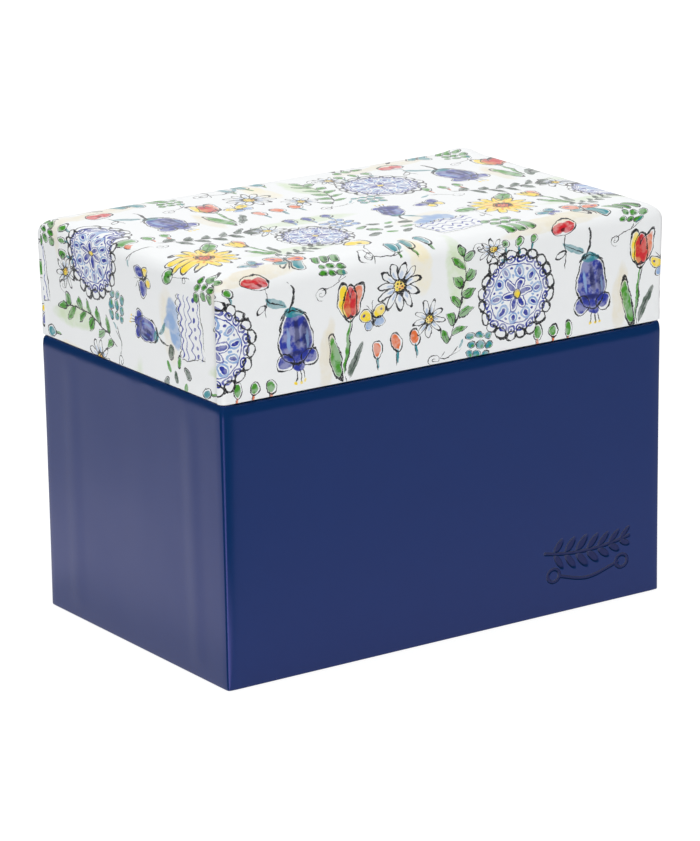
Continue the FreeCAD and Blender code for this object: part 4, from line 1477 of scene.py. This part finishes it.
def build_world():
    """Soft light from all round, a white backdrop, and a glow that only reflections show."""
    studio = settings()[2]
    world = bpy.data.worlds.new("studio")
    bpy.context.scene.world = world
    world.use_nodes = True
    graph = Graph(world.node_tree)
    seen, mirrored = graph.rays()
    soft = graph.node("ShaderNodeBackground", inputs={"Color": WHITE, "Strength": studio.sky})
    toward = graph.node("ShaderNodeTexCoord", output="Generated")
    beyond = graph.vector("DOT_PRODUCT", toward, sight(studio, 1), output="Value")
    glow = beyond.fade(0.78, 0.93, 0.06, 1.0)
    gloss = graph.node("ShaderNodeBackground", inputs={"Color": glow, "Strength": 1.0})
    white = graph.node("ShaderNodeBackground", inputs={"Color": WHITE, "Strength": 1.0})
    shown = graph.choose(seen, graph.choose(mirrored, soft, gloss), white)
    graph.node("ShaderNodeOutputWorld", inputs={"Surface": shown})


def floor_glow(graph, yaw):
    """How brightly the floor shows in reflections, by bearing and distance from the base.

    The bearing is taken at the base's near corner, from the way to the camera, and is above 0
    to the right.
    """
    half_x, half_y = (math.ceil(side / MM) for side in BASE_HIGH[:2])
    x, y, _ = graph.parts(graph.place())
    bearing = x.math("ARCTAN2", y + half_y, x + half_x)
    toward_camera = -math.pi / 2 - yaw
    to_right = (bearing - toward_camera).wrap(math.pi)
    to_left = -to_right
    left = to_left.fade(math.radians(76), math.radians(104), 0.03, 0.80)
    left = left + to_left.fade(math.radians(104), math.radians(150), 0.0, 0.12)
    right = to_right.fade(math.radians(50), math.radians(70), 0.03, 0.60)
    away = (abs(x) - half_x).most(abs(y) - half_y)
    left = left * (away.fade(8.0, 40.0, 0.95, 1.3) - away.fade(60.0, 160.0, 0.0, 0.3))
    right = right * away.fade(20.0, 170.0, 1.22, 1.0)
    ahead = away.fade(60.0, 300.0, 3.0, 1.0) * abs(to_right - 0.05).fade(0.2, 0.6)
    near = away.fade(30.0, 140.0, 2.2, 0.0) * abs(to_right - 0.3).fade(0.5, 0.85)
    return left.most(right).most(ahead.most(near)) * away.fade(290.0, 430.0, 1.0, 0.03)


def build_floor():
    """The pale floor, which keeps the contact shadow and glows in reflections."""
    studio = settings()[2]
    mesh = bpy.data.meshes.new("floor")
    made = bmesh.new()
    bmesh.ops.create_grid(made, x_segments=8, y_segments=8, size=studio.floor_size / 2)
    made.to_mesh(mesh)
    made.free()
    floor = bpy.data.objects.new("floor", mesh)
    floor.location.z = -0.1 * MM
    bpy.context.scene.collection.objects.link(floor)
    material, graph = new_material("floor")
    seen, mirrored = graph.rays()
    glow = floor_glow(graph, studio.yaw)
    paint = graph.node("ShaderNodeBsdfDiffuse", inputs={"Color": (0.92, 0.92, 0.92, 1.0)})
    shine = graph.node("ShaderNodeEmission", inputs={"Color": glow, "Strength": 1.0})
    white = graph.node("ShaderNodeEmission", inputs={"Color": WHITE, "Strength": 0.84})
    veil = graph.node("ShaderNodeBsdfDiffuse", inputs={"Color": (0.28, 0.28, 0.28, 1.0)})
    view = graph.node("ShaderNodeAddShader", inputs={0: white, 1: veil})
    shown = graph.choose(seen, graph.choose(mirrored, paint, shine), view)
    graph.node("ShaderNodeOutputMaterial", inputs={"Surface": shown})
    mesh.materials.append(material)


def build_lamp(name, place, size, power):
    """A square lamp that faces the middle of the box and doesn't show in reflections."""
    data = bpy.data.lights.new(name, "AREA")
    data.shape, data.size, data.energy = "SQUARE", size, power
    lamp = bpy.data.objects.new(name, data)
    bpy.context.scene.collection.objects.link(lamp)
    lamp.location = place
    aim = Vector((0, 0, 0.07))
    lamp.rotation_euler = (Vector(place) - aim).to_track_quat("Z", "Y").to_euler()
    lamp.visible_glossy = False


# ---------------------------------------------------------------- operators


class CARDBOX_OT_stage(bpy.types.Operator):
    """Sets up the camera, the soft light and the pale floor"""

    bl_idname = "card_box.stage"
    bl_label = "Studio"

    def execute(self, context):
        studio = settings()[2]
        build_camera()
        build_world()
        build_floor()
        build_lamp("overhead_lamp", place=(-0.1, 0.1, 1.4), size=1.3, power=studio.overhead)
        build_lamp("front_lamp", place=(-1.0, -1.5, 0.9), size=1.2, power=studio.front_fill)
        context.scene.view_settings.view_transform = "Standard"
        return {"FINISHED"}


class CARDBOX_OT_base_covering(bpy.types.Operator):
    """Wraps the base in one navy skin, rolled over the rim and turned in"""

    bl_idname = "card_box.base_covering"
    bl_label = "Base covering"

    def execute(self, context):
        build_base_cover()
        return {"FINISHED"}


class CARDBOX_OT_lid_covering(bpy.types.Operator):
    """Wraps the padded lid in one printed skin"""

    bl_idname = "card_box.lid_covering"
    bl_label = "Lid covering"

    def execute(self, context):
        build_lid_cover()
        return {"FINISHED"}


class CARDBOX_OT_padding(bpy.types.Operator):
    """Lays the foam pad on the lid's top board"""

    bl_idname = "card_box.padding"
    bl_label = "Lid padding"

    def execute(self, context):
        build_pad()
        return {"FINISHED"}


class CARDBOX_OT_hinge(bpy.types.Operator):
    """Glues the hinge strip down the back of the base and the lid"""

    bl_idname = "card_box.hinge"
    bl_label = "Hinge strip"

    def execute(self, context):
        build_hinge_strip()
        return {"FINISHED"}


class CARDBOX_OT_boards(bpy.types.Operator):
    """Finishes the boards inside the walls, the linings and the underside"""

    bl_idname = "card_box.boards"
    bl_label = "Boards and linings"

    def execute(self, context):
        dress_walls()
        return {"FINISHED"}


class CARDBOX_OT_contents(bpy.types.Operator):
    """Finishes the tabbed dividers and the ruled index cards"""

    bl_idname = "card_box.contents"
    bl_label = "Dividers and cards"

    def execute(self, context):
        dress_sections()
        return {"FINISHED"}


OPERATORS = (CARDBOX_OT_stage, CARDBOX_OT_base_covering, CARDBOX_OT_lid_covering, CARDBOX_OT_padding,
             CARDBOX_OT_hinge, CARDBOX_OT_boards, CARDBOX_OT_contents)


class CARDBOX_PT_panel(bpy.types.Panel):
    """Lists the steps that build the box"""

    bl_label = "Index Card Box"
    bl_idname = "CARDBOX_PT_panel"
    bl_space_type = "VIEW_3D"
    bl_region_type = "UI"
    bl_category = "Card Box"

    def draw(self, context):
        column = self.layout.column()
        for operator in OPERATORS:
            column.operator(operator.bl_idname)
        for group in settings():
            for name in group.__annotations__:
                column.prop(group, name)


GROUPS = {"card_box_sizes": CardBoxSizes, "card_box_colours": CardBoxColours,
          "card_box_studio": CardBoxStudio}


def register():
    """Registers the settings, the operators and the panel."""
    for made in (*GROUPS.values(), *OPERATORS, CARDBOX_PT_panel):
        bpy.utils.register_class(made)
    for name, group in GROUPS.items():
        setattr(bpy.types.Scene, name, PointerProperty(type=group))


def unregister():
    """Takes out what register put in."""
    for name in GROUPS:
        delattr(bpy.types.Scene, name)
    for made in reversed((*GROUPS.values(), *OPERATORS, CARDBOX_PT_panel)):
        bpy.utils.unregister_class(made)


def main():
    """Builds the whole scene, one operator after another."""
    register()
    for operator in OPERATORS:
        group, name = operator.bl_idname.split(".")
        getattr(getattr(bpy.ops, group), name)()


if __name__ == "__main__":
    main()
